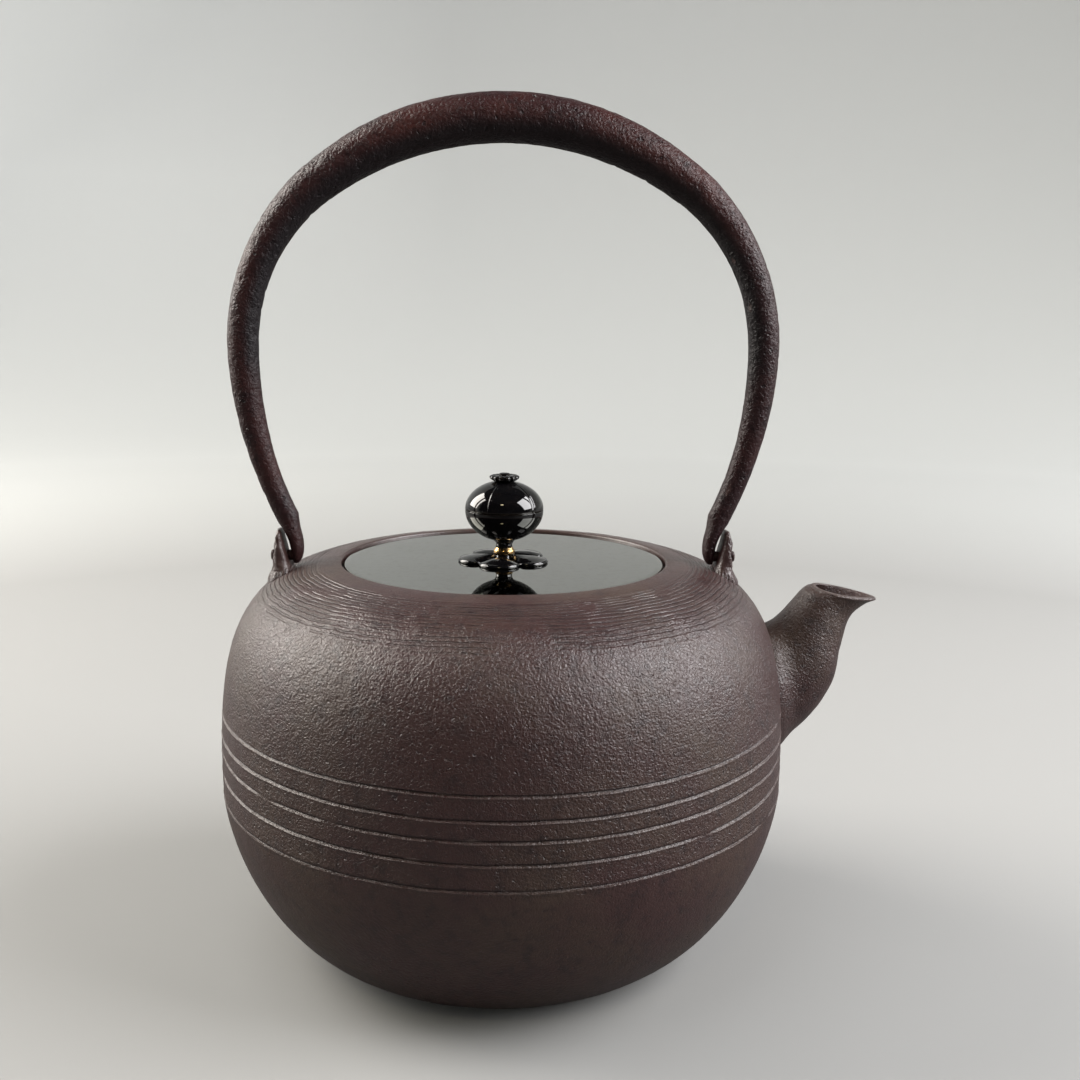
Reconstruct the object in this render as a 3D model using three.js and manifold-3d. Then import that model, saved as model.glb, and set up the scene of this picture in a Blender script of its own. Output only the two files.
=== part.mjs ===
// Iron kettle with a swinging bail handle and a lift-off bronze lid.
// Millimetres, +Z up. The origin is the centre of the flat bottom and the
// spout points along +X. The bail's hinge axis runs along X through the lugs.
import * as THREE from 'three';
import { mergeVertices } from 'three/addons/utils/BufferGeometryUtils.js';
import Module from 'manifold-3d';

const wasm = await Module();
wasm.setup();

// ---------------------------------------------------------------- sizes

const GAP = 0.3;               // running gap between neighbouring pieces
const TAU = Math.PI * 2;

const BODY = {
  radius: 80,                  // widest radius of the pot
  footRadius: 42,              // flat bottom
  bowlTop: 48.5,               // where the bowl becomes the straight wall
  bowlOut: 2.0,                // superellipse powers of the bowl
  bowlUp: 1.55,
  shoulderStart: 50,           // where the straight wall becomes the shoulder
  shoulderTop: 112,            // height the shoulder curve is aimed at
  shoulderOut: 6.0,            // superellipse powers of the shoulder
  shoulderUp: 3.1,
  wall: 3,
  floor: 3.6,
  rimInnerRadius: 46,
  ledgeRadius: 41,             // the lid sits on the ledge between these radii
  ledgeTop: 108.5,
  mouthCeiling: 105.4,         // underside of the shoulder at the ledge
  roofLift: 0.6,               // rise of the inside roof from there to the axis
  clear: 2,                    // how far the mouth is cut past the rim
  segments: 72,
  cavitySegments: 48,
  bowlSteps: 8,
  shoulderSteps: 18,
  cavityBowlSteps: 7,
  roofSteps: 11,
};

const LID = {
  radius: 45.2,
  top: 110.5,
  thickness: 1.9,
  skirtOuter: 40.3,            // locating ring below the plate
  skirtInner: 38.7,
  skirtDepth: 5.2,
  holeRadius: 1.6,
  bevel: 0.5,
  segments: 64,
};

const KNOB = {
  equator: 125.3,              // height of the seam between the two shells
  radius: 11.1,
  lowerDepth: 9.0,
  upperRise: 8.1,
  shell: 0.9,
  neckBottom: 114.3,
  neckRadius: 2.4,
  neckFlare: 3.4,
  pinRadius: 1.2,
  pinClearance: 0.25,
  segments: 36,
  folds: 5,                    // petals folded into the upper shell
  foldAngle: -116,             // where one of their edges is, in degrees
  foldDepth: 0.02,             // depth of an edge as a share of the radius
};

const STACK_GAP = 0.1;         // between the parts that the pin holds together

const WASHER = {
  radius: 13.2,
  rise: 1.7,
  petals: 5,
  petalAngle: -99,             // middle of the front petal, in degrees
  notch: 0.27,                 // how far the outline runs in between petals
  fullness: 0.55,              // below 1 the petals are rounder
  crestRadius: 8.5,
  segments: 60,
};

const COLLAR = { radius: 3.1, height: 1.9, segments: 24 };
const FINIAL = { radius: 4.25, rise: 2.1, lobes: 10, lobeDepth: 0.1, segments: 40 };
const BACKING = { radius: 5, height: 1.0, bevel: 0.4, segments: 24 };
const PIN = { tail: 1.1, tailRadius: 2.1, headRadius: 1.7, headRise: 0.6, segments: 16 };

const HINGE_Z = 111.8;

const LUG = {
  faceFoot: 60.1,              // x of the inner face at the shoulder
  faceFootZ: 107,
  faceTop: 62.7,
  faceTopZ: 118.6,
  crest: 63.4,
  backTop: 64.2,
  backTopZ: 118.8,
  backBend: 64.8,              // the outer face turns in above this height
  backBendZ: 116,
  backFoot: 65,
  foot: 102.5,                 // hidden below the shoulder skin
  top: 119.3,
  halfWidthTop: 3.6,
  halfWidthFoot: 5.2,
  steps: 4,
  holeRadius: 1.9,
  holeLength: 14,
  holeSides: 20,
};

const BAIL = {
  crown: 231.5,                // height of the centre line at the top
  crownArc: 82,                // radii of the three arcs of the centre line
  sideArc: 56,
  legArc: 108,
  reach: 72,                   // widest half span of the centre line
  reachZ: 170,
  legEndZ: 122.5,              // where the leg gives way to the forged tip
  crownRadius: 6.5,            // tube half thickness at the crown
  sideRadius: 4.3,
  legRadius: 3.1,
  swellFrom: 0.08,             // shares of the leg where the tube's size changes
  swellTo: 0.62,
  sheet: 1.3,                  // sheet thickness of the hollow part
  hollowTo: 0.7,               // share of each leg that is hollow
  seam: 0.5,                   // half width of the open seam inside the bend
  seamTo: 0.55,                // share of each leg that has the seam
  seamReach: 0.6,              // size and place of the seam's cut, in tube radii
  seamShift: 0.75,
  sides: 14,
  steps: 60,
  hollowSides: 8,
  hollowSteps: 30,
  seamSides: 4,
  tipSides: 16,
  tipOverlap: 0.6,
  pegRadius: 1.5,
  pegRoot: 58.6,
  pegEnd: 66.2,
  pegSides: 16,
};

// Forged end of each leg from the tube down to below the hinge.
const TIP = [
  { inner: 57.9, outer: 62.2, height: 119.5, halfWidth: 3.1 },
  { inner: 57.1, outer: 61.1, height: 116.4, halfWidth: 3.0 },
  { inner: 56.9, outer: 60.4, height: 113.4, halfWidth: 2.8 },
  { inner: 57.4, outer: 60.2, height: 111.0, halfWidth: 2.2 },
  { inner: 58.3, outer: 60.0, height: 109.7, halfWidth: 1.4 },
];

const SPOUT = {
  wall: 2.6,
  rimWall: 1.7,
  // upper and lower edge of the spout in its mid plane, root to rim
  upper: [[71, 86], [76.6, 90.6], [80.6, 94.9], [84, 99], [86.8, 102.2], [89, 103.3]],
  lower: [[72, 50.5], [87.6, 62.2], [95.9, 74.2], [98, 85.5], [100.8, 95], [108, 100]],
  halfWidth: [12.6, 11.8, 10.6, 9, 7.8, 7.6],
  lipPoint: 0.32,              // how far the rim narrows towards the lip
  overrun: 40,                 // length that one share past either end stands for
  channelStart: -0.22,         // shares where the channel's cut starts and ends
  channelEnd: 1.1,
  sides: 22,
  steps: 12,
  channelSides: 16,
  channelSteps: 11,
};

// ------------------------------------------------------------- materials

const finish = (color, roughness, metalness) =>
  new THREE.MeshStandardMaterial({ color, roughness, metalness });

const castIron = finish(0x3f2f2e, 0.62, 0.35);
const forgedIron = finish(0x3a2725, 0.5, 0.4);
const lidBronze = finish(0x34352f, 0.28, 0.8);
const blackBronze = finish(0x0d0d10, 0.12, 0.6);
const paleBrass = finish(0xa88a58, 0.3, 0.9);

// --------------------------------------------------------------- helpers

/** Shared vertices merged and collapsed triangles dropped. */
function weld(geometry) {
  const bare = geometry.clone();
  bare.deleteAttribute('normal');
  bare.deleteAttribute('uv');
  const merged = mergeVertices(bare, 1e-4);
  const kept = [];
  const index = merged.index.array;
  for (let i = 0; i < index.length; i += 3) {
    const [a, b, c] = [index[i], index[i + 1], index[i + 2]];
    if (a !== b && b !== c && c !== a) kept.push(a, b, c);
  }
  merged.setIndex(kept);
  return merged;
}

function toSolid(geometry) {
  const welded = weld(geometry);
  const mesh = new wasm.Mesh({
    numProp: 3,
    vertProperties: new Float32Array(welded.attributes.position.array),
    triVerts: new Uint32Array(welded.index.array),
  });
  mesh.merge();
  return new wasm.Manifold(mesh);
}

function fromSolid(solid) {
  const mesh = solid.getMesh();
  const geometry = new THREE.BufferGeometry();
  geometry.setAttribute('position', new THREE.BufferAttribute(mesh.vertProperties, 3));
  geometry.setIndex(new THREE.BufferAttribute(mesh.triVerts, 1));
  geometry.computeVertexNormals();
  return geometry;
}

/** Turned solid about Z from [radius, height] points, foot to top. */
function turned(points, segments) {
  const outline = points.map(([radius, height]) => new THREE.Vector2(radius, height));
  const geometry = new THREE.LatheGeometry(outline, segments);
  geometry.rotateX(Math.PI / 2);
  return geometry;
}

/** Points of a quarter superellipse from (across, 0) round to (0, up). */
function quarter(across, up, powerAcross, powerUp, steps) {
  const points = [];
  for (let i = 0; i <= steps; i += 1) {
    const angle = (Math.PI / 2) * (i / steps);
    const out = across * Math.cos(angle) ** (2 / powerAcross);
    points.push([i === steps ? 0 : out, up * Math.sin(angle) ** (2 / powerUp)]);
  }
  return points;
}

/** Radius of the pot's shoulder turned into a height. */
function shoulderHeight(radius) {
  const across = (radius / BODY.radius) ** BODY.shoulderOut;
  const rise = BODY.shoulderTop - BODY.shoulderStart;
  return BODY.shoulderStart + rise * (1 - across) ** (1 / BODY.shoulderUp);
}

/**
 * Closed solid swept through sections. section(t) gives the centre, the two
 * unit directions across it and the point of the unit circle it is shaped by.
 */
function loft(section, radial, steps) {
  const geometry = new THREE.CylinderGeometry(1, 1, 1, radial, steps);
  const position = geometry.attributes.position;
  const point = new THREE.Vector3();
  for (let i = 0; i < position.count; i += 1) {
    point.fromBufferAttribute(position, i);
    const { centre, along, across, shape } = section(point.y + 0.5);
    const [u, v] = shape(point.x, point.z);
    point.copy(centre).addScaledVector(along, u).addScaledVector(across, v);
    position.setXYZ(i, point.x, point.y, point.z);
  }
  return geometry;
}

/** Scales each vertex's distance from the Z axis by factor(angle, radius, height). */
function warpRound(geometry, factor) {
  const position = geometry.attributes.position;
  for (let i = 0; i < position.count; i += 1) {
    const [x, y, z] = [position.getX(i), position.getY(i), position.getZ(i)];
    const scale = factor(Math.atan2(y, x), Math.hypot(x, y), z);
    position.setXYZ(i, x * scale, y * scale, z);
  }
  return geometry;
}

function piece(name, geometry, material) {
  const tidy = weld(geometry);
  tidy.computeVertexNormals();
  const mesh = new THREE.Mesh(tidy, material);
  mesh.name = name;
  return mesh;
}

// ------------------------------------------------------------------- pot

function potOutline() {
  const { radius, footRadius, bowlTop, shoulderStart, shoulderTop } = BODY;
  const bowl = quarter(radius - footRadius, bowlTop, BODY.bowlOut, BODY.bowlUp, BODY.bowlSteps)
    .map(([out, up]) => [footRadius + out, bowlTop - up])
    .reverse();
  const rise = shoulderTop - shoulderStart;
  const shoulder = quarter(radius, rise, BODY.shoulderOut, BODY.shoulderUp, BODY.shoulderSteps)
    .map(([out, up]) => [out, shoulderStart + up])
    .filter(([out]) => out > BODY.rimInnerRadius);
  const rimHeight = shoulderHeight(BODY.rimInnerRadius);
  return [[0, 0], ...bowl, ...shoulder, [BODY.rimInnerRadius, rimHeight], [0, rimHeight]];
}

function cavityOutline() {
  const { radius, footRadius, bowlTop, wall, floor, shoulderStart, mouthCeiling } = BODY;
  const inner = radius - wall;
  const depth = bowlTop - floor;
  const bowl = quarter(inner - footRadius, depth, BODY.bowlOut, BODY.bowlUp, BODY.cavityBowlSteps)
    .map(([out, up]) => [footRadius + out, bowlTop - up])
    .reverse();
  const rise = mouthCeiling + BODY.roofLift - shoulderStart;
  const roof = quarter(inner, rise, BODY.shoulderOut, BODY.shoulderUp, BODY.roofSteps)
    .map(([out, up]) => [out, shoulderStart + up])
    .filter(([out]) => out > BODY.ledgeRadius + 1);
  const throat = [
    [BODY.ledgeRadius, mouthCeiling],
    [BODY.ledgeRadius, BODY.ledgeTop],
    [BODY.rimInnerRadius, BODY.ledgeTop],
    [BODY.rimInnerRadius, BODY.shoulderTop + BODY.clear],
    [0, BODY.shoulderTop + BODY.clear],
  ];
  return [[0, floor], ...bowl, ...roof, ...throat];
}

/** Spout section at t, shrunk by the wall when it is cut as the channel. */
function spoutSection(t, inset) {
  const edge = (points) => new THREE.SplineCurve(points.map(([x, z]) => new THREE.Vector2(x, z)));
  const clamped = THREE.MathUtils.clamp(t, 0, 1);
  const top = edge(SPOUT.upper).getPoint(clamped);
  const bottom = edge(SPOUT.lower).getPoint(clamped);
  const widths = edge(SPOUT.halfWidth.map((width, i) => [i, width]));
  const narrowing = SPOUT.lipPoint * clamped ** 3;
  const along = new THREE.Vector3(bottom.x - top.x, 0, bottom.y - top.y);
  const halfLength = along.length() / 2 - inset;
  along.normalize();
  const across = new THREE.Vector3(0, 1, 0);
  const forward = new THREE.Vector3().crossVectors(across, along);
  const centre = new THREE.Vector3((top.x + bottom.x) / 2, 0, (top.y + bottom.y) / 2);
  centre.addScaledVector(forward, (clamped - t) * SPOUT.overrun);
  const halfWidth = widths.getPoint(clamped).y - inset;
  return {
    centre,
    along,
    across,
    shape: (u, v) => [u * halfLength, -v * halfWidth * (1 - narrowing * u)],
  };
}

const spoutOuter = () => loft((t) => spoutSection(t, 0), SPOUT.sides, SPOUT.steps);

function spoutChannel() {
  const section = (share) => {
    const t = THREE.MathUtils.lerp(SPOUT.channelStart, SPOUT.channelEnd, share);
    const inset = THREE.MathUtils.lerp(SPOUT.wall, SPOUT.rimWall, THREE.MathUtils.clamp(t, 0, 1));
    return spoutSection(t, inset);
  };
  return loft(section, SPOUT.channelSides, SPOUT.channelSteps);
}

/** Outline of an ear in its mid plane, x outward and y up. */
function lugOutline() {
  const slope = (LUG.faceTop - LUG.faceFoot) / (LUG.faceTopZ - LUG.faceFootZ);
  const corners = [
    [LUG.faceFoot - slope * (LUG.faceFootZ - LUG.foot), LUG.foot],
    [LUG.backFoot, LUG.foot],
    [LUG.backFoot, HINGE_Z],
    [LUG.backBend, LUG.backBendZ],
    [LUG.backTop, LUG.backTopZ],
    [LUG.crest, LUG.top],
    [LUG.faceTop, LUG.faceTopZ],
  ];
  return new THREE.Shape(corners.map(([x, z]) => new THREE.Vector2(x, z)));
}

/** One ear of the pot; side is +1 next to the spout and -1 opposite. */
function lug(side) {
  const width = LUG.halfWidthFoot * 2;
  const options = { depth: width, bevelEnabled: false, steps: LUG.steps };
  const geometry = new THREE.ExtrudeGeometry(lugOutline(), options);
  geometry.translate(0, 0, -width / 2);
  geometry.rotateX(Math.PI / 2);
  const position = geometry.attributes.position;
  for (let i = 0; i < position.count; i += 1) {
    const lift = THREE.MathUtils.smoothstep(position.getZ(i), LUG.foot, LUG.top);
    const narrow = THREE.MathUtils.lerp(1, LUG.halfWidthTop / LUG.halfWidthFoot, lift);
    position.setY(i, position.getY(i) * narrow);
  }
  if (side < 0) geometry.rotateZ(Math.PI);
  return geometry;
}

function lugHole(side) {
  const { holeRadius, holeLength, holeSides } = LUG;
  const geometry = new THREE.CylinderGeometry(holeRadius, holeRadius, holeLength, holeSides);
  geometry.rotateZ(Math.PI / 2);
  geometry.translate(side * LUG.faceTop, 0, HINGE_Z);
  return geometry;
}

function kettleBody() {
  let solid = toSolid(turned(potOutline(), BODY.segments)).add(toSolid(spoutOuter()));
  for (const side of [-1, 1]) {
    solid = solid.add(toSolid(lug(side))).subtract(toSolid(lugHole(side)));
  }
  solid = solid.subtract(toSolid(turned(cavityOutline(), BODY.cavitySegments)));
  solid = solid.subtract(toSolid(spoutChannel()));
  return piece('kettle_body', fromSolid(solid), castIron);
}

// ------------------------------------------------------------------- lid

function lidPlate() {
  const { radius, top, thickness, skirtOuter, skirtInner, skirtDepth, holeRadius, bevel } = LID;
  const under = top - thickness;
  const outline = [
    [holeRadius, under],
    [skirtInner, under],
    [skirtInner, under - skirtDepth],
    [skirtOuter, under - skirtDepth],
    [skirtOuter, under],
    [radius, under],
    [radius, top - bevel],
    [radius - bevel, top],
    [holeRadius, top],
    [holeRadius, under],
  ];
  return piece('lid_plate', turned(outline, LID.segments), lidBronze);
}

function backingWasher() {
  const top = LID.top - LID.thickness - STACK_GAP;
  const bottom = top - BACKING.height;
  const outline = [
    [LID.holeRadius, bottom],
    [BACKING.radius - BACKING.bevel, bottom],
    [BACKING.radius, bottom + BACKING.bevel],
    [BACKING.radius, top],
    [LID.holeRadius, top],
    [LID.holeRadius, bottom],
  ];
  return piece('lid_backing_washer', turned(outline, BACKING.segments), lidBronze);
}

/** Five round petals, thickest at the hub. */
function flowerWasher() {
  const bottom = LID.top + STACK_GAP;
  const hub = bottom + WASHER.rise;
  const front = THREE.MathUtils.degToRad(WASHER.petalAngle);
  const outline = [
    [LID.holeRadius, bottom],
    [WASHER.radius - 0.3, bottom],
    [WASHER.radius, bottom + 0.3],
    [WASHER.radius - 0.5, bottom + 0.75],
    [WASHER.crestRadius, hub - 0.35],
    [COLLAR.radius + 0.6, hub],
    [LID.holeRadius, hub],
    [LID.holeRadius, bottom],
  ];
  const petal = (angle, radius) => {
    const depth = WASHER.notch * THREE.MathUtils.smoothstep(radius, COLLAR.radius, WASHER.radius);
    const lobe = Math.abs(Math.cos((WASHER.petals * (angle - front)) / 2)) ** WASHER.fullness;
    return 1 - depth * (1 - lobe);
  };
  return piece('flower_washer', warpRound(turned(outline, WASHER.segments), petal), blackBronze);
}

// ------------------------------------------------------------------ knob

function knobCollar() {
  const bottom = LID.top + STACK_GAP + WASHER.rise + STACK_GAP;
  const top = bottom + COLLAR.height;
  const bore = KNOB.pinRadius + KNOB.pinClearance;
  const outline = [
    [bore, bottom],
    [COLLAR.radius - 0.3, bottom],
    [COLLAR.radius, bottom + 0.6],
    [COLLAR.radius - 0.1, bottom + 1.1],
    [KNOB.neckRadius + 0.1, top],
    [bore, top],
    [bore, bottom],
  ];
  return piece('knob_collar', turned(outline, COLLAR.segments), paleBrass);
}

/** Cup with a waisted neck, open at the seam. */
function knobLowerShell() {
  const { equator, radius, lowerDepth, shell, neckBottom, neckRadius, neckFlare } = KNOB;
  const seam = equator - GAP / 2;
  const bore = KNOB.pinRadius + KNOB.pinClearance;
  const bowl = (across, down, steps) => quarter(across, down, 2, 2, steps)
    .map(([out, drop]) => [out, equator - drop])
    .filter(([out, height]) => out > neckFlare && height < seam)
    .reverse();
  const outline = [
    [bore, neckBottom],
    [neckRadius, neckBottom],
    [neckRadius - 0.1, neckBottom + 0.9],
    [neckFlare - 0.3, neckBottom + 1.9],
    ...bowl(radius, lowerDepth, 8),
    [radius, seam],
    [radius - shell, seam],
    ...bowl(radius - shell, lowerDepth - shell, 5).reverse(),
    [bore, equator - lowerDepth + shell],
    [bore, neckBottom],
  ];
  return piece('knob_lower_shell', turned(outline, KNOB.segments), blackBronze);
}

/** Domed cover with five petal edges from the seam towards the crown. */
function knobUpperShell() {
  const { equator, radius, upperRise, shell, folds, foldAngle, foldDepth } = KNOB;
  const seam = equator + GAP / 2;
  const bore = KNOB.pinRadius + KNOB.pinClearance;
  const first = THREE.MathUtils.degToRad(foldAngle);
  const dome = (across, up, steps) => quarter(across, up, 2, 2, steps)
    .map(([out, rise]) => [out, equator + rise])
    .filter(([out, height]) => out > bore && height > seam);
  const outline = [
    [radius - shell, seam],
    [radius, seam],
    ...dome(radius, upperRise, 8),
    [bore, equator + upperRise],
    [bore, equator + upperRise - shell],
    ...dome(radius - shell, upperRise - shell, 5).reverse(),
    [radius - shell, seam],
  ];
  const edge = (angle, radiusHere, height) => {
    const nearest = Math.abs(Math.cos((folds * (angle - first)) / 2));
    const fade = THREE.MathUtils.smoothstep(height, seam, seam + 1.5);
    return 1 - foldDepth * fade * THREE.MathUtils.smoothstep(nearest, 0.93, 1);
  };
  return piece('knob_upper_shell', warpRound(turned(outline, KNOB.segments), edge), blackBronze);
}

function knobFinial() {
  const bottom = KNOB.equator + KNOB.upperRise + STACK_GAP;
  const { radius, rise, lobes, lobeDepth, segments } = FINIAL;
  const bore = KNOB.pinRadius + KNOB.pinClearance;
  const outline = [
    [bore, bottom],
    [radius - 0.4, bottom],
    [radius, bottom + 0.5],
    [radius - 0.3, bottom + 1.1],
    [2.4, bottom + rise - 0.5],
    [bore, bottom + rise - 0.6],
    [bore, bottom],
  ];
  const scallop = (angle, distance) => {
    const outerness = THREE.MathUtils.smoothstep(distance, 2, radius);
    return 1 - lobeDepth * outerness * (0.5 - 0.5 * Math.cos(lobes * angle));
  };
  return piece('knob_finial', warpRound(turned(outline, segments), scallop), blackBronze);
}

/** Through pin: a domed head over the finial and a peened tail under the lid. */
function knobPin() {
  const headFoot = KNOB.equator + KNOB.upperRise + STACK_GAP + FINIAL.rise - 0.5;
  const tailTop = LID.top - LID.thickness - STACK_GAP - BACKING.height - STACK_GAP;
  const { pinRadius } = KNOB;
  const { tail, tailRadius, headRadius, headRise, segments } = PIN;
  const outline = [
    [0, tailTop - tail],
    [tailRadius - 0.7, tailTop - tail + 0.2],
    [tailRadius, tailTop],
    [pinRadius, tailTop],
    [pinRadius, headFoot],
    [headRadius, headFoot],
    [headRadius - 0.3, headFoot + headRise - 0.15],
    [0, headFoot + headRise],
  ];
  return piece('knob_pin', turned(outline, segments), blackBronze);
}

// ------------------------------------------------------------------ bail

/** Centre line of the bail from the crown down one leg to the leg's end. */
function legCentreLine() {
  const { crown, crownArc, sideArc, legArc, reach, reachZ, legEndZ } = BAIL;
  const crownCentre = new THREE.Vector2(0, crown - crownArc);
  const sideCentre = new THREE.Vector2(reach - sideArc, reachZ);
  const legCentre = new THREE.Vector2(reach - legArc, reachZ);
  const blend = Math.atan2(sideCentre.y - crownCentre.y, sideCentre.x - crownCentre.x);
  const legAngle = -Math.asin((reachZ - legEndZ) / legArc);
  const path = new THREE.CurvePath();
  path.add(new THREE.EllipseCurve(0, crownCentre.y, crownArc, crownArc, Math.PI / 2, blend, true));
  path.add(new THREE.EllipseCurve(sideCentre.x, sideCentre.y, sideArc, sideArc, blend, 0, true));
  path.add(new THREE.EllipseCurve(legCentre.x, legCentre.y, legArc, legArc, 0, legAngle, true));
  return path;
}

const CENTRE_LINE = legCentreLine();

/** Point, direction and tube radius at a signed share of the leg, -1 to 1. */
function bailStation(share) {
  const distance = Math.abs(share);
  const side = share < 0 ? -1 : 1;
  const step = 0.002;
  const spot = CENTRE_LINE.getPointAt(distance);
  const ahead = CENTRE_LINE.getPointAt(Math.min(distance + step, 1));
  const behind = CENTRE_LINE.getPointAt(Math.max(distance - step, 0));
  const tangent = ahead.sub(behind).normalize();
  const upper = THREE.MathUtils.smoothstep(distance, BAIL.swellFrom, BAIL.swellTo);
  const lower = THREE.MathUtils.smoothstep(distance, BAIL.swellTo, 1);
  const swell = THREE.MathUtils.lerp(BAIL.crownRadius, BAIL.sideRadius, upper);
  return {
    centre: new THREE.Vector3(side * spot.x, 0, spot.y),
    outward: new THREE.Vector3(side * -tangent.y, 0, tangent.x),
    radius: THREE.MathUtils.lerp(swell, BAIL.legRadius, lower),
  };
}

/** Tube round the bail's centre line between two shares of its length. */
function bailTube(from, to, sizeAt, radial, steps) {
  const section = (t) => {
    const { centre, outward, radius } = bailStation(THREE.MathUtils.lerp(from, to, t));
    const { reach, width, shift } = sizeAt(radius);
    return {
      centre: centre.addScaledVector(outward, shift),
      along: outward,
      across: new THREE.Vector3(0, 1, 0),
      shape: (u, v) => [u * reach, v * width],
    };
  };
  return loft(section, radial, steps);
}

/** Forged tip from the leg's end down to the hinge, flat towards the lug. */
function bailTip(side) {
  const { legEndZ, legRadius, tipOverlap, tipSides } = BAIL;
  const end = CENTRE_LINE.getPointAt(1);
  const top = {
    inner: end.x - legRadius,
    outer: end.x + legRadius - 0.2,
    height: legEndZ + tipOverlap,
    halfWidth: legRadius,
  };
  const stations = [top, ...TIP];
  const section = (t) => {
    const place = (1 - t) * (stations.length - 1);
    const low = Math.min(Math.floor(place), stations.length - 2);
    const blend = place - low;
    const mix = (key) => THREE.MathUtils.lerp(stations[low][key], stations[low + 1][key], blend);
    const [inner, outer] = [mix('inner'), mix('outer')];
    return {
      centre: new THREE.Vector3((side * (inner + outer)) / 2, 0, mix('height')),
      along: new THREE.Vector3(1, 0, 0),
      across: new THREE.Vector3(0, -1, 0),
      shape: (u, v) => [(u * (outer - inner)) / 2, v * mix('halfWidth')],
    };
  };
  return loft(section, tipSides, stations.length - 1);
}

/** Round peg that passes out through the lug's hole. */
function bailPeg(side) {
  const { pegRadius, pegRoot, pegEnd, pegSides } = BAIL;
  const length = pegEnd - pegRoot;
  const geometry = new THREE.CylinderGeometry(pegRadius, pegRadius, length, pegSides);
  geometry.rotateZ(Math.PI / 2);
  geometry.translate((side * (pegRoot + pegEnd)) / 2, 0, HINGE_Z);
  return geometry;
}

function handleBail() {
  const { sheet, seam, seamReach, seamShift, hollowTo, seamTo } = BAIL;
  const { sides, steps, hollowSides, hollowSteps, seamSides } = BAIL;
  const skin = (radius) => ({ reach: radius, width: radius, shift: 0 });
  const hollow = (radius) => ({ reach: radius - sheet, width: radius - sheet, shift: 0 });
  const slit = (radius) => ({ reach: radius * seamReach, width: seam, shift: -radius * seamShift });
  let solid = toSolid(bailTube(-1, 1, skin, sides, steps));
  solid = solid.subtract(toSolid(bailTube(-hollowTo, hollowTo, hollow, hollowSides, hollowSteps)));
  solid = solid.subtract(toSolid(bailTube(-seamTo, seamTo, slit, seamSides, hollowSteps)));
  for (const side of [-1, 1]) {
    solid = solid.add(toSolid(bailTip(side))).add(toSolid(bailPeg(side)));
  }
  return piece('handle_bail', fromSolid(solid), forgedIron);
}

// -------------------------------------------------------------- assembly

const knob = new THREE.Group();
knob.add(knobCollar(), knobLowerShell(), knobUpperShell(), knobFinial(), knobPin());

const lid = new THREE.Group();
lid.add(lidPlate(), backingWasher(), flowerWasher(), knob);

const kettle = new THREE.Group();
kettle.add(kettleBody(), lid, handleBail());

export default kettle;
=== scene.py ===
"""Iron kettle with a swinging bail, a bronze lid and a lacquered knob.

Sizes held by the classes are millimetres and meshes are made in metres, in the
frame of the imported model: +Z up, spout along +X, front towards -Y.
"""

from __future__ import annotations

import logging
import math
from dataclasses import dataclass
from enum import Enum
from typing import Any, Callable, Sequence

import bpy
import numpy as np
from mathutils import Matrix, Vector


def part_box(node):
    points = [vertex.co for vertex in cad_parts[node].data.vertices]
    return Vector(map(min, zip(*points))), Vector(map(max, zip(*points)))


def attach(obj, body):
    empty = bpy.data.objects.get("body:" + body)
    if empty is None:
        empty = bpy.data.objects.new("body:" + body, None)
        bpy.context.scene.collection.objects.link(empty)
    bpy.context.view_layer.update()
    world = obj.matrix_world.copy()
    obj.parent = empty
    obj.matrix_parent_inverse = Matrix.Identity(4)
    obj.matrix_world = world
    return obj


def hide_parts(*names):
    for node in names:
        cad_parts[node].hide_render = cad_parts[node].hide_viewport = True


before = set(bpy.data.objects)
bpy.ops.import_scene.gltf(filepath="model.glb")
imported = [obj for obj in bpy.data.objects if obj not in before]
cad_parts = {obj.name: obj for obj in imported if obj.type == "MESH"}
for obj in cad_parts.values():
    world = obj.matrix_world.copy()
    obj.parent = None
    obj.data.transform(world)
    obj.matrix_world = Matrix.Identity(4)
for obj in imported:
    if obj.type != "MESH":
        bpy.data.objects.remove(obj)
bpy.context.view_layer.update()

MM = 0.001
TAU = 2 * math.pi
Array = np.ndarray
Piece = bpy.types.Object
Socket = bpy.types.NodeSocket
Colour = tuple[float, float, float]
Knots = tuple[tuple[float, ...], ...]
Relief = Callable[[Array, Array, Array], tuple[Array, Array]]

VALUE, COLOUR, VECTOR = "NodeSocketFloat", "NodeSocketColor", "NodeSocketVector"
HINGE_HEIGHT = 111.8

log = logging.getLogger("kettle")


class Ends(Enum):
    """How a swept skin is closed after its last ring."""

    CAPPED = "capped"
    JOINED = "joined"


class Cut(Enum):
    """What one closed shape does to another."""

    UNITE = "UNION"
    REMOVE = "DIFFERENCE"


class Reach(Enum):
    """What a lamp lights: everything, or surfaces without a reflection of it."""

    ALL = "all"
    FILL = "fill"


class Body(Enum):
    """The moving bodies of the kettle."""

    POT = "pot"
    LID = "lid"
    KNOB = "knob"
    BAIL = "bail"


# ------------------------------------------------------------------ shaping


def ease(value: Array, low: float, high: float) -> Array:
    """Smooth rise from 0 at low to 1 at high."""
    share = np.clip((value - low) / (high - low), 0, 1)
    return share * share * (3 - 2 * share)


def bell(distance: Array, width: float) -> Array:
    """Smooth bump of height 1 that dies away over the width."""
    return np.exp(-((distance / width) ** 2))


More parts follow.
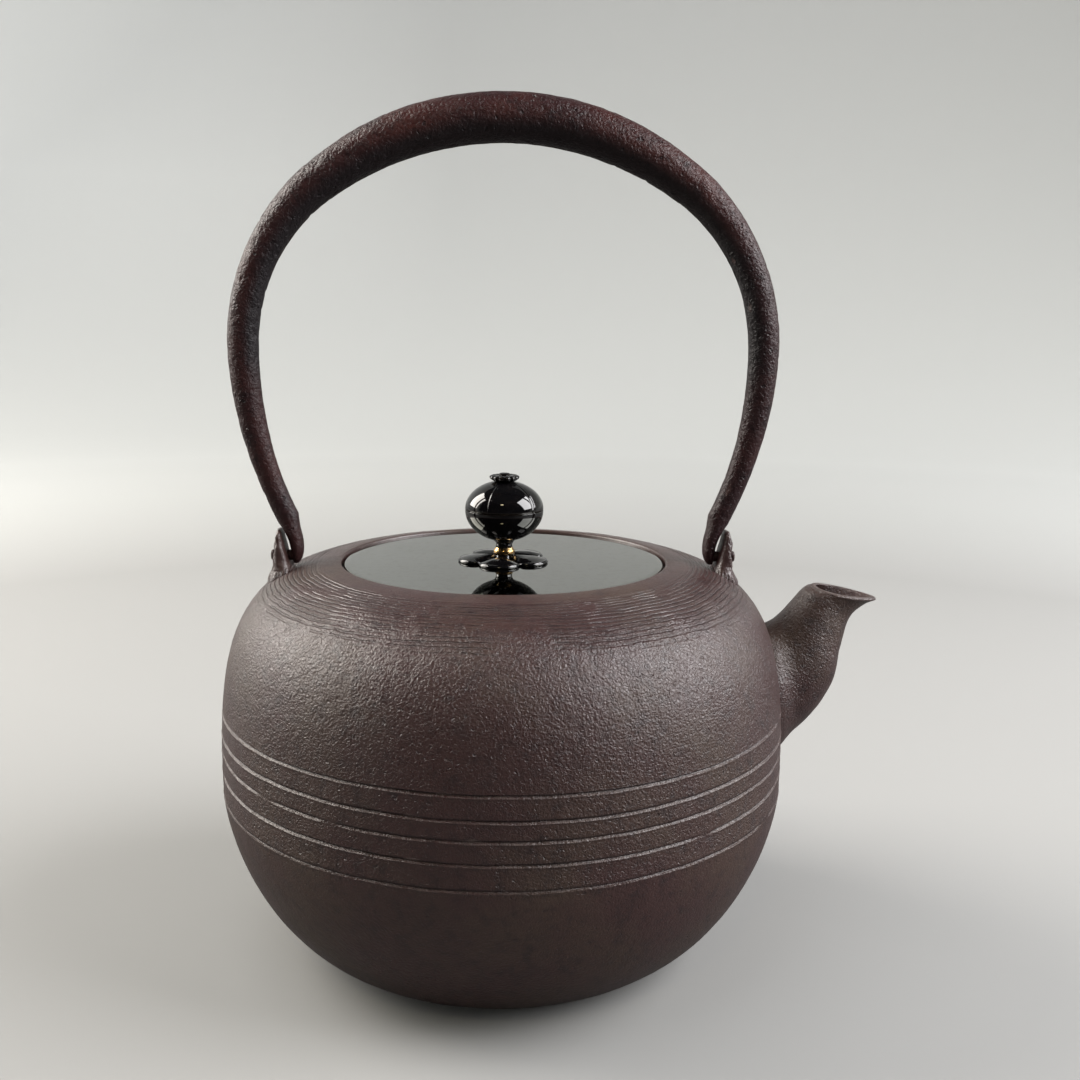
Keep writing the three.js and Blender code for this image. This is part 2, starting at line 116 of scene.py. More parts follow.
def through(knots: Sequence[Any], share: Array) -> Array:
    """Smooth curve through evenly spaced knots.

    Args:
        knots: The points or rows of sizes the curve passes through.
        share: Where on the curve, 0 at the first knot and 1 at the last.

    Returns:
        One row per share.
    """
    rows = np.asarray(knots, float)
    last = len(rows) - 1
    place = np.clip(share, 0, 1) * last
    low = np.minimum(place.astype(int), last - 1)
    part = (place - low)[..., None]
    start, end = rows[low], rows[low + 1]
    leave = (end - rows[np.maximum(low - 1, 0)]) / 2
    arrive = (rows[np.minimum(low + 2, last)] - start) / 2
    cubic = 2 * start - 2 * end + leave + arrive
    square = 3 * end - 3 * start - 2 * leave - arrive
    return ((cubic * part + square) * part + leave) * part + start


class Grit:
    """Seeded smooth noise in space, the same on every run."""

    def __init__(self, seed: int) -> None:
        """Draws the table and the directions from the seed.

        Args:
            seed: Where the random draws start.
        """
        maker = np.random.default_rng(seed)
        self.table = maker.permutation(256)
        directions = maker.normal(size=(256, 3))
        self.directions = directions / np.linalg.norm(directions, axis=1)[:, None]

    def at(self, points: Array, size: float) -> Array:
        """Noise between about -1 and 1.

        Args:
            points: Places in millimetres, with x, y and z last.
            size: Size of one lump in millimetres.

        Returns:
            One value per point.
        """
        place = points / size
        cell = np.floor(place).astype(int)
        part = place - cell
        blend = part**3 * (part * (part * 6 - 15) + 10)
        total = np.zeros(part.shape[:-1])
        for corner in np.ndindex(2, 2, 2):
            key = np.zeros(part.shape[:-1], int)
            for axis in range(3):
                key = self.table[(key + cell[..., axis] + corner[axis]) & 255]
            near = np.where(np.array(corner, bool), blend, 1 - blend)
            slope = np.sum(self.directions[key] * (part - corner), axis=-1)
            total += np.prod(near, axis=-1) * slope
        return total * 1.7

    def layered(self, points: Array, size: float, layers: int) -> Array:
        """Noise in several sizes, each half the size and strength of the last."""
        return sum(self.at(points + 31 * k, size / 2**k) / 2**k for k in range(layers))

    def along(self, angle: Array, size: float, radius: float, level: float) -> Array:
        """Noise that runs round a circle of the radius and closes on itself.

        Args:
            angle: Angles round the Z axis in radians.
            size: Size of one lump in millimetres.
            radius: Distances from the Z axis.
            level: Which of the noises, told apart by their height.

        Returns:
            One value per angle.
        """
        flat = np.full_like(angle, level)
        ring = np.stack([radius * np.cos(angle), radius * np.sin(angle), flat], axis=-1)
        return self.at(ring, size)


@dataclass
class Outline:
    """A line of radius and height points, measured along its length."""

    points: Array

    def __post_init__(self) -> None:
        """Measures the length up to each point."""
        steps = np.hypot(*np.diff(self.points, axis=0).T)
        self.length = np.concatenate([[0], np.cumsum(steps)])

    def at(self, travel: Array) -> tuple[Array, Array]:
        """Radius and height after the travel."""
        radius = np.interp(travel, self.length, self.points[:, 0])
        return radius, np.interp(travel, self.length, self.points[:, 1])

    def outward(self, travel: Array) -> tuple[Array, Array]:
        """Unit direction away from the wall, as radius and height parts.

        Args:
            travel: Travel along the outline.

        Returns:
            Radius part and height part.
        """
        reach = 0.25
        ahead, behind = self.at(travel + reach), self.at(travel - reach)
        run, rise = ahead[0] - behind[0], ahead[1] - behind[1]
        size = np.maximum(np.hypot(run, rise), 1e-9)
        return rise / size, -run / size

    def travel_to_height(self, height: Array) -> Array:
        """Travel at which the line reaches the height."""
        return np.interp(height, self.points[:, 1], self.length)

    def rows(self, spacing: Array) -> Array:
        """Travels spaced as asked for.

        Args:
            spacing: Wanted distance between rows at each point of the line.

        Returns:
            Travels from the first point to the last.
        """
        middle = (1 / spacing[1:] + 1 / spacing[:-1]) / 2
        count = np.concatenate([[0], np.cumsum(np.diff(self.length) * middle)])
        total = int(math.ceil(count[-1]))
        return np.interp(np.linspace(0, count[-1], total + 1), count, self.length)


def quarter(across: float, up: float, power_across: float, power_up: float) -> Array:
    """Quarter of a superellipse from (across, 0) round to (0, up).

    Args:
        across: Half width.
        up: Height.
        power_across: Squareness towards the side.
        power_up: Squareness towards the top.

    Returns:
        Radius and height of each point.
    """
    angle = np.linspace(0, math.pi / 2, 400)
    side = across * np.cos(angle).clip(0) ** (2 / power_across)
    return np.stack([side, up * np.sin(angle) ** (2 / power_up)], axis=-1)


def rings_about_axis(radius: Array, height: Array, angle: Array) -> Array:
    """Rings of points about the Z axis from radius and height grids.

    Args:
        radius: Distances from the Z axis.
        height: Heights above the floor.
        angle: Angles round the Z axis in radians.

    Returns:
        Points as rows, columns and xyz.
    """
    wide = np.broadcast_to(angle, radius.shape)
    tall = np.broadcast_to(height, radius.shape)
    return np.stack([radius * np.cos(wide), radius * np.sin(wide), tall], axis=-1)


def closed_skin(name: str, rings: Array, ends: Ends) -> Piece:
    """Closed mesh over rings of points.

    Args:
        name: Name of the piece.
        rings: Points in millimetres, as rows, columns and xyz.
        ends: Whether the two end rings are capped or joined to each other.

    Returns:
        The linked object, with its faces turned outwards.
    """
    rows, columns, _ = rings.shape
    count = rows * columns
    index = np.arange(count).reshape(rows, columns)
    joined = ends is Ends.JOINED
    lower = index if joined else index[:-1]
    upper = np.roll(index, -1, axis=0) if joined else index[1:]
    sides = [lower, np.roll(lower, -1, 1), np.roll(upper, -1, 1), upper]
    quads = np.stack(sides, axis=-1).reshape(-1, 4)
    points = rings.reshape(-1, 3)
    faces = quads.tolist()
    if not joined:
        points = np.vstack([points, rings[0].mean(0), rings[-1].mean(0)])
        here, there = index[0], np.roll(index[0], -1)
        faces += [[count, b, a] for a, b in zip(here.tolist(), there.tolist())]
        here, there = index[-1], np.roll(index[-1], -1)
        faces += [[count + 1, a, b] for a, b in zip(here.tolist(), there.tolist())]
    corners = points[quads[:, :3]]
    volume = np.sum(np.cross(corners[:, 0], corners[:, 1]) * corners[:, 2])
    if volume < 0:
        faces = [face[::-1] for face in faces]
    mesh = bpy.data.meshes.new(name)
    mesh.from_pydata((points * MM).tolist(), [], faces)
    piece = bpy.data.objects.new(name, mesh)
    bpy.context.scene.collection.objects.link(piece)
    return piece


def hinge_bar(name: str, stations: Sequence[Any], side: int, columns: int,
              unround: float) -> Piece:
    """Round bar along the line that the bail swings about.

    Args:
        name: Name of the bar.
        stations: Distance from the middle and radius of each ring.
        side: +1 next to the spout and -1 opposite.
        columns: Points in a ring.
        unround: How far the bar is from round, as a share of its radius.

    Returns:
        The new bar.
    """
    sizes = np.asarray(stations, float)
    turn = np.linspace(0, TAU, columns, endpoint=False)
    ring = sizes[:, 1:] * (1 + unround * np.cos(3 * turn))
    x = side * sizes[:, :1] + 0 * ring
    points = np.stack([x, ring * np.cos(turn), HINGE_HEIGHT + ring * np.sin(turn)], axis=-1)
    return closed_skin(name, points, Ends.CAPPED)


def carve(piece: Piece, tool: Piece, cut: Cut) -> None:
    """Unites the tool with the piece, or removes it, and uses the tool up.

    Args:
        piece: The piece that is changed.
        tool: The other shape, which is used up.
        cut: Whether the tool is added to the piece or taken away.
    """
    modifier = piece.modifiers.new("carve", "BOOLEAN")
    modifier.operation = cut.value
    modifier.solver = "MANIFOLD"
    modifier.object = tool
    graph = bpy.context.evaluated_depsgraph_get()
    carved = bpy.data.meshes.new_from_object(piece.evaluated_get(graph))
    piece.modifiers.clear()
    spent = piece.data
    piece.data = carved
    carved.name = piece.name
    bpy.data.meshes.remove(spent)
    bpy.data.objects.remove(tool)


def soften(piece: Piece, crease: float) -> None:
    """Shades the piece smooth, with edges sharper than the crease left crisp."""
    piece.data.shade_smooth()
    piece.data.set_sharp_from_angle(angle=math.radians(crease))


def mesh_points(piece: Piece) -> Array:
    """Points of the piece's mesh in millimetres.

    Args:
        piece: The piece that is changed.

    Returns:
        One row per point.
    """
    flat = np.zeros(len(piece.data.vertices) * 3, np.float32)
    piece.data.vertices.foreach_get("co", flat)
    return flat.reshape(-1, 3).astype(float) / MM


def paint(piece: Piece, name: str, values: Array) -> None:
    """Stores one value per point for a material to read."""
    layer = piece.data.attributes.new(name, "FLOAT", "POINT")
    layer.data.foreach_set("value", values.astype(np.float32))


# ------------------------------------------------------------------- wiring


class Board:
    """A node tree with short ways to place and wire nodes."""

    def __init__(self, tree: bpy.types.NodeTree) -> None:
        """Keeps the tree the nodes go in."""
        self.tree = tree

    def place(self, kind: str, wires: dict | None = None, **settings: Any) -> bpy.types.Node:
        """Adds a node.

        Args:
            kind: The node's type.
            wires: What each input takes, a socket or a plain value.
            settings: The node's own settings.

        Returns:
            The new node.
        """
        node = self.tree.nodes.new(kind)
        for key, value in settings.items():
            setattr(node, key, value)
        for key, value in (wires or {}).items():
            if isinstance(value, Socket):
                self.tree.links.new(value, node.inputs[key])
            else:
                node.inputs[key].default_value = value
        return node

    def step(self, how: str, first: Any, second: Any = 0.0) -> Socket:
        """Result of one arithmetic step."""
        wires = {0: first, 1: second}
        return self.place("ShaderNodeMath", wires, operation=how).outputs[0]

    def plus(self, first: Any, second: Any) -> Socket:
        """Both values added."""
        return self.step("ADD", first, second)

    def minus(self, first: Any, second: Any) -> Socket:
        """The first value less the second."""
        return self.step("SUBTRACT", first, second)

    def times(self, first: Any, second: Any) -> Socket:
        """One value times the other."""
        return self.step("MULTIPLY", first, second)

    def from_axis(self, where: Any) -> Socket:
        """Distance of a place from the Z axis.

        Args:
            where: Place on the piece as a vector.

        Returns:
            The distance in metres.
        """
        flat = self.place("ShaderNodeVectorMath", {0: where, 1: (1.0, 1.0, 0.0)},
                          operation="MULTIPLY")
        wires = {0: flat.outputs["Vector"]}
        return self.place("ShaderNodeVectorMath", wires, operation="LENGTH").outputs["Value"]

    def wire(self, sockets: dict, inputs: Any) -> None:
        """Wires sockets to the inputs of the same names."""
        for label, socket in sockets.items():
            self.tree.links.new(socket, inputs[label])

    def span(self, value: Any, low: float, high: float, start: Any = 0.0, end: Any = 1.0) -> Socket:
        """Value moved from low..high to start..end and held at both ends."""
        wires = {0: value, 1: low, 2: high, 3: start, 4: end}
        return self.place("ShaderNodeMapRange", wires).outputs[0]

    def tint(self, share: Any, first: Any, second: Any) -> Socket:
        """Colour between the first and the second."""
        wires = {0: share, 6: first, 7: second}
        return self.place("ShaderNodeMix", wires, data_type="RGBA").outputs[2]

    def noise(self, where: Any, scale: Any, detail: float, **wires: float) -> Socket:
        """Value of a cloud-like noise."""
        sockets = {"Vector": where, "Scale": scale, "Detail": detail, **wires}
        return self.place("ShaderNodeTexNoise", sockets).outputs[0]

    def cells(self, where: Any, scale: Any, **wires: float) -> Socket:
        """Distance to the middle of the nearest of many scattered cells.

        Args:
            where: Place on the piece as a vector.
            scale: Cells per metre.
            wires: What further inputs take.

        Returns:
            One distance per place.
        """
        feature = "SMOOTH_F1" if "Smoothness" in wires else "F1"
        sockets = {"Vector": where, "Scale": scale, **wires}
        return self.place("ShaderNodeTexVoronoi", sockets, feature=feature).outputs["Distance"]


class Effects:
    """Shader effects shared by the finishes, each built once as a node group."""

    made: dict[str, bpy.types.NodeTree] = {}

    @classmethod
    def start(cls, name: str, takes: dict, gives: dict) -> tuple[Board, Any, Any]:
        """Opens a new group.

        Args:
            name: Name of the group.
            takes: Kind and starting value of each input.
            gives: Kind of each output.

        Returns:
            The board, the group's inputs and the node its outputs are wired to.
        """
        tree = bpy.data.node_groups.new(name, "ShaderNodeTree")
        for label, (kind, value) in takes.items():
            socket = tree.interface.new_socket(label, in_out="INPUT", socket_type=kind)
            if value is not None:
                socket.default_value = value
        for label, kind in gives.items():
            tree.interface.new_socket(label, in_out="OUTPUT", socket_type=kind)
        cls.made[name] = tree
        source = tree.nodes.new("NodeGroupInput").outputs
        return Board(tree), source, tree.nodes.new("NodeGroupOutput").inputs

    @classmethod
    def use(cls, board: Board, name: str, wires: dict) -> Any:
        """Places the named group on a board and returns its outputs.

        Args:
            board: The board that the nodes go on.
            name: Name of the effect.
            wires: What each input takes.

        Returns:
            The group's outputs.
        """
        if name not in cls.made:
            getattr(cls, name)()
        return board.place("ShaderNodeGroup", wires, node_tree=cls.made[name]).outputs

    @classmethod
    def sandy_grain(cls) -> None:
        """Worm-like sandy bumps with a few pits, as cast or forged iron has."""
        takes = {
            "Vector": (VECTOR, None), "Grains per metre": (VALUE, 1000.0), "Pits": (VALUE, 0.5),
        }
        gives = {"Height": VALUE, "Pits": VALUE, "Fine": VALUE}
        board, source, result = cls.start("sandy_grain", takes, gives)
        where, scale = source["Vector"], source["Grains per metre"]
        worms = board.noise(where, scale, 3.0, Roughness=0.55, Distortion=0.8)
        grains = board.cells(where, board.times(scale, 0.9), Smoothness=0.5)
        lumps = board.noise(where, board.times(scale, 0.22), 2.0)
        pocks = board.noise(where, board.times(scale, 0.55), 1.0, Roughness=0.3)
        holes = board.times(board.span(pocks, 0.70, 0.77), source["Pits"])
        raised = board.times(board.minus(1.0, grains), 0.30)
        swell = board.times(lumps, 0.7)
        height = board.plus(board.plus(worms, raised), swell)
        board.wire({"Height": board.minus(height, holes), "Pits": holes, "Fine": worms}, result)

    @classmethod
    def iron_mottle(cls) -> None:
        """Patchy colour of old iron: a main tone with warmer and darker clouds."""
        takes = {
            "Vector": (VECTOR, None), "Main": (COLOUR, None), "Warm": (COLOUR, None),
            "Dark": (COLOUR, None), "Patches per metre": (VALUE, 40.0),
        }
        gives = {"Colour": COLOUR, "Patches": VALUE}
        board, source, result = cls.start("iron_mottle", takes, gives)
        where, scale = source["Vector"], source["Patches per metre"]
        clouds = board.noise(where, scale, 5.0, Roughness=0.6)
        flecks = board.noise(where, board.times(scale, 9.0), 4.0, Roughness=0.7)
        warm = board.span(clouds, 0.45, 0.68, 0.0, 0.8)
        dark = board.span(flecks, 0.5, 0.72, 0.0, 0.75)
        first = board.tint(warm, source["Main"], source["Warm"])
        board.wire({"Colour": board.tint(dark, first, source["Dark"]), "Patches": clouds}, result)

    @classmethod
    def edge_wear(cls) -> None:
        """Corners rubbed through to a paler metal, broken up by fine noise."""
        takes = {
            "Vector": (VECTOR, None), "Colour": (COLOUR, None), "Rubbed": (COLOUR, None),
            "Amount": (VALUE, 0.5),
        }
        board, source, result = cls.start("edge_wear", takes, {"Colour": COLOUR})
        corner = board.place("ShaderNodeNewGeometry").outputs["Pointiness"]
        proud = board.span(corner, 0.515, 0.57)
        broken = board.span(board.noise(source["Vector"], 900.0, 3.0), 0.35, 0.65, 0.2, 1.0)
        mask = board.times(board.times(proud, broken), source["Amount"])
        board.wire({"Colour": board.tint(mask, source["Colour"], source["Rubbed"])}, result)

    @classmethod
    def handling_film(cls) -> None:
        """Specks of dust and soft smears on polished metal and lacquer."""
        takes = {
            "Vector": (VECTOR, None), "Specks per metre": (VALUE, 500.0),
            "Smears per metre": (VALUE, 60.0),
        }
        gives = {"Specks": VALUE, "Smears": VALUE, "Swell": VALUE}
        board, source, result = cls.start("handling_film", takes, gives)
        where = source["Vector"]
        dots = board.cells(where, source["Specks per metre"])
        chance = board.noise(where, board.times(source["Specks per metre"], 0.4), 1.0)
        small = board.span(dots, 0.07, 0.13, 1.0, 0.0)
        specks = board.times(small, board.span(chance, 0.56, 0.64))
        smears = board.noise(where, source["Smears per metre"], 4.0, Distortion=1.5)
        swell = board.noise(where, board.times(source["Smears per metre"], 0.7), 1.0)
        board.wire({"Specks": specks, "Smears": smears, "Swell": swell}, result)


def open_material(name: str) -> tuple[bpy.types.Material, Board, bpy.types.Node, Any]:
    """New material, its board and shader, and the place on the piece as a vector.

    Args:
        name: Name of the material.

    Returns:
        The material, its board, its shader and the place on the piece.
    """
    material = bpy.data.materials.new(name)
    material.use_nodes = True
    board = Board(material.node_tree)
    shader = material.node_tree.nodes["Principled BSDF"]
    return material, board, shader, board.place("ShaderNodeTexCoord").outputs["Object"]


def opaque(colour: Colour) -> tuple[float, float, float, float]:
    """The colour with full opacity."""
    return (*colour, 1.0)


def finish_surface(board: Board, shader: bpy.types.Node, sockets: dict, height: Socket,
                   relief: float, specular: float) -> None:
    """Wires a surface and its bumps to the shader.

    Args:
        board: The material's board.
        shader: The material's shader.
        sockets: What the shader's inputs take.
        height: Height of the bumps, 0 to about 1.
        relief: Height in millimetres that 1 stands for.
        specular: Strength of the reflection.
    """
    wires = {"Height": height, "Strength": 1.0, "Distance": relief * MM}
    bump = board.place("ShaderNodeBump", wires).outputs[0]
    board.wire({**sockets, "Normal": bump}, shader.inputs)
    shader.inputs["Specular IOR Level"].default_value = specular


@dataclass(frozen=True)
class IronFinish:
    """Dark iron with a sandy skin, for the cast pot and the forged bail."""

    name: str
    main: Colour
    warm: Colour
    dark: Colour
    # Pale tone for worn corners; on the lips it is also a painted highlight.
    rubbed: Colour
    grains: float
    patches: float
    pits: float
    relief: float
    smooth: float
    rough: float
    specular: float
    comb_pitch: float = 1.2
    comb_sway: float = 2.2
    comb_shake: float = 0.7
    comb_depth: float = 0.9
    comb_shade: float = 0.35
    lip_grit: float = 2.2
    shade_rough: float = 0.15
    wear: float = 0.6

    def material(self) -> bpy.types.Material:
        """Builds the iron, with the painted masks coarse, comb, lip and shade; lip lays pale paint
        that is part wear and part painted highlight, and shade and the comb lines lay painted
        shade.

        Returns:
            The new material.
        """
        material, board, shader, where = open_material(self.name)
        grain = Effects.use(board, "sandy_grain", {
            "Vector": where, "Grains per metre": self.grains, "Pits": self.pits,
        })
        mottle = Effects.use(board, "iron_mottle", {
            "Vector": where, "Main": opaque(self.main), "Warm": opaque(self.warm),
            "Dark": opaque(self.dark), "Patches per metre": self.patches,
        })
        coarse = self.mask(board, "coarse")
        lip = self.mask(board, "lip")
        shade = self.mask(board, "shade")
        pitted = board.times(grain["Pits"], 0.8)
        colour = board.tint(pitted, mottle["Colour"], opaque(self.dark))
        # Painted shade: the shade mask darkens the colour to the dark tone.
        colour = board.tint(shade, colour, opaque(self.dark))
        speckle = board.span(grain["Fine"], 0.44, 0.56)
        # Pale paint on the lips of the cut lines, part wear and part painted highlight.
        colour = board.tint(board.times(lip, speckle), colour, opaque(self.rubbed))
        combing = self.combing(board, where)
        # Painted shade along the comb lines.
        colour = board.tint(board.times(combing, self.comb_shade), colour, opaque(self.dark))
        worn = Effects.use(board, "edge_wear", {
            "Vector": where, "Colour": colour, "Rubbed": opaque(self.rubbed), "Amount": self.wear,
        })
        fine = board.span(grain["Fine"], 0.3, 0.7, self.smooth, self.rough)
        roughness = board.plus(fine, board.span(mottle["Patches"], 0.35, 0.65, -0.04, 0.06))
        roughness = board.plus(roughness, board.times(shade, self.shade_rough))
        gritty = board.step("MAXIMUM", coarse, board.times(lip, self.lip_grit))
        height = board.times(grain["Height"], gritty)
        height = board.minus(height, board.times(combing, self.comb_depth))
        sockets = {"Base Color": worn["Colour"], "Roughness": roughness}
        finish_surface(board, shader, sockets, height, self.relief, self.specular)
        return material

    def combing(self, board: Board, where: Any) -> Socket:
        """Fine broken lines round the Z axis, where the mask comb is painted.

        Args:
            board: The board that the nodes go on.
            where: Place on the piece as a vector.

        Returns:
            Depth of the lines, 0 to 1.
        """
        slow = board.times(board.noise(where, 40.0, 1.0), self.comb_sway * MM)
        quick = board.times(board.noise(where, 260.0, 1.0), self.comb_shake * MM)
        strayed = board.plus(board.from_axis(where), board.plus(slow, quick))
        wave = board.step("SINE", board.times(strayed, TAU / (self.comb_pitch * MM)))
        cut = board.span(wave, 0.0, 0.9)
        broken = board.span(board.noise(where, 120.0, 2.0), 0.36, 0.50, 0.15, 1.0)
        return board.times(board.times(cut, broken), self.mask(board, "comb"))

    @staticmethod
    def mask(board: Board, name: str) -> Socket:
        """A value painted on the mesh."""
        return board.place("ShaderNodeAttribute", attribute_name=name).outputs["Fac"]


@dataclass(frozen=True)
class PolishedFinish:
    """Polished bronze, lacquer or brass with specks and smears."""

    name: str
    main: Colour
    stain: Colour
    rubbed: Colour
    metallic: float
    smooth: float
    smeared: float
    swell: float
    specular: float = 0.5
    dull: float = 0.35
    wear: float = 0.4
    specks: float = 520.0
    smears: float = 60.0

    def material(self) -> bpy.types.Material:
        """Builds the polished metal or lacquer.

        Returns:
            The new material.
        """
        material, board, shader, where = open_material(self.name)
        film = Effects.use(board, "handling_film", {
            "Vector": where, "Specks per metre": self.specks, "Smears per metre": self.smears,
        })
        mottle = Effects.use(board, "iron_mottle", {
            "Vector": where, "Main": opaque(self.main), "Warm": opaque(self.main),
            "Dark": opaque(self.stain), "Patches per metre": self.smears,
        })
        colour = board.tint(film["Specks"], mottle["Colour"], opaque(self.stain))
        worn = Effects.use(board, "edge_wear", {
            "Vector": where, "Colour": colour, "Rubbed": opaque(self.rubbed), "Amount": self.wear,
        })
        smear = board.span(film["Smears"], 0.45, 0.75, self.smooth, self.smeared)
        roughness = board.plus(smear, board.times(film["Specks"], self.dull))
        height = board.minus(film["Swell"], board.times(film["Specks"], 0.15))
        sockets = {"Base Color": worn["Colour"], "Roughness": roughness}
        finish_surface(board, shader, sockets, height, self.swell, self.specular)
        shader.inputs["Metallic"].default_value = self.metallic
        return material


CAST_IRON = IronFinish(
    "cast_iron", main=(0.028, 0.0125, 0.0118), warm=(0.034, 0.020, 0.014),
    dark=(0.011, 0.006, 0.007), rubbed=(0.082, 0.062, 0.056),
    grains=1600.0, patches=30.0, pits=0.5, relief=0.32, smooth=0.29, rough=0.41, specular=0.44,
)
FORGED_IRON = IronFinish(
    "forged_iron", main=(0.020, 0.0075, 0.008), warm=(0.038, 0.009, 0.007),
    dark=(0.006, 0.004, 0.005), rubbed=(0.060, 0.036, 0.032),
    grains=1150.0, patches=26.0, pits=0.8, relief=0.46, smooth=0.27, rough=0.38, specular=0.17,
)
LID_BRONZE = PolishedFinish(
    "patinated_bronze", main=(0.235, 0.242, 0.224), stain=(0.150, 0.146, 0.126),
    rubbed=(0.42, 0.36, 0.25), metallic=1.0, smooth=0.008, smeared=0.03, swell=0.001, dull=0.12,
)
BLACK_LACQUER = PolishedFinish(
    "black_lacquer", main=(0.0016, 0.0015, 0.0018), stain=(0.004, 0.003, 0.003),
    rubbed=(0.12, 0.09, 0.06), metallic=0.0, smooth=0.04, smeared=0.07, swell=0.003, wear=0.15,
    specks=700.0, specular=0.48,
)
WORN_BRASS = PolishedFinish(
    "rubbed_brass", main=(0.36, 0.23, 0.10), stain=(0.05, 0.028, 0.012),
    rubbed=(0.80, 0.62, 0.34), metallic=1.0, smooth=0.20, smeared=0.36, swell=0.02,
    wear=0.9, smears=420.0,
)


def dress(
    piece: Piece,
    body: Body,
    material: bpy.types.Material,
    node: str,
) -> Piece:
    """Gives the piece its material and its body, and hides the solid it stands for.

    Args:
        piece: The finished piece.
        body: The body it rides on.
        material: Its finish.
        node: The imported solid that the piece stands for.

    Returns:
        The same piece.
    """
    piece.data.materials.clear()
    piece.data.materials.append(material)
    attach(piece, body.value)
    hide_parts(node)
    log.info("%s rides on %s: %d faces", piece.name, body.value, len(piece.data.polygons))
    return piece


# ---------------------------------------------------------------------- pot


@dataclass(frozen=True)
class CutLine:
    """A line cut by hand round the pot."""

    height: float
    depth: float
    lip: float
    gaps: tuple[float, ...] = ()


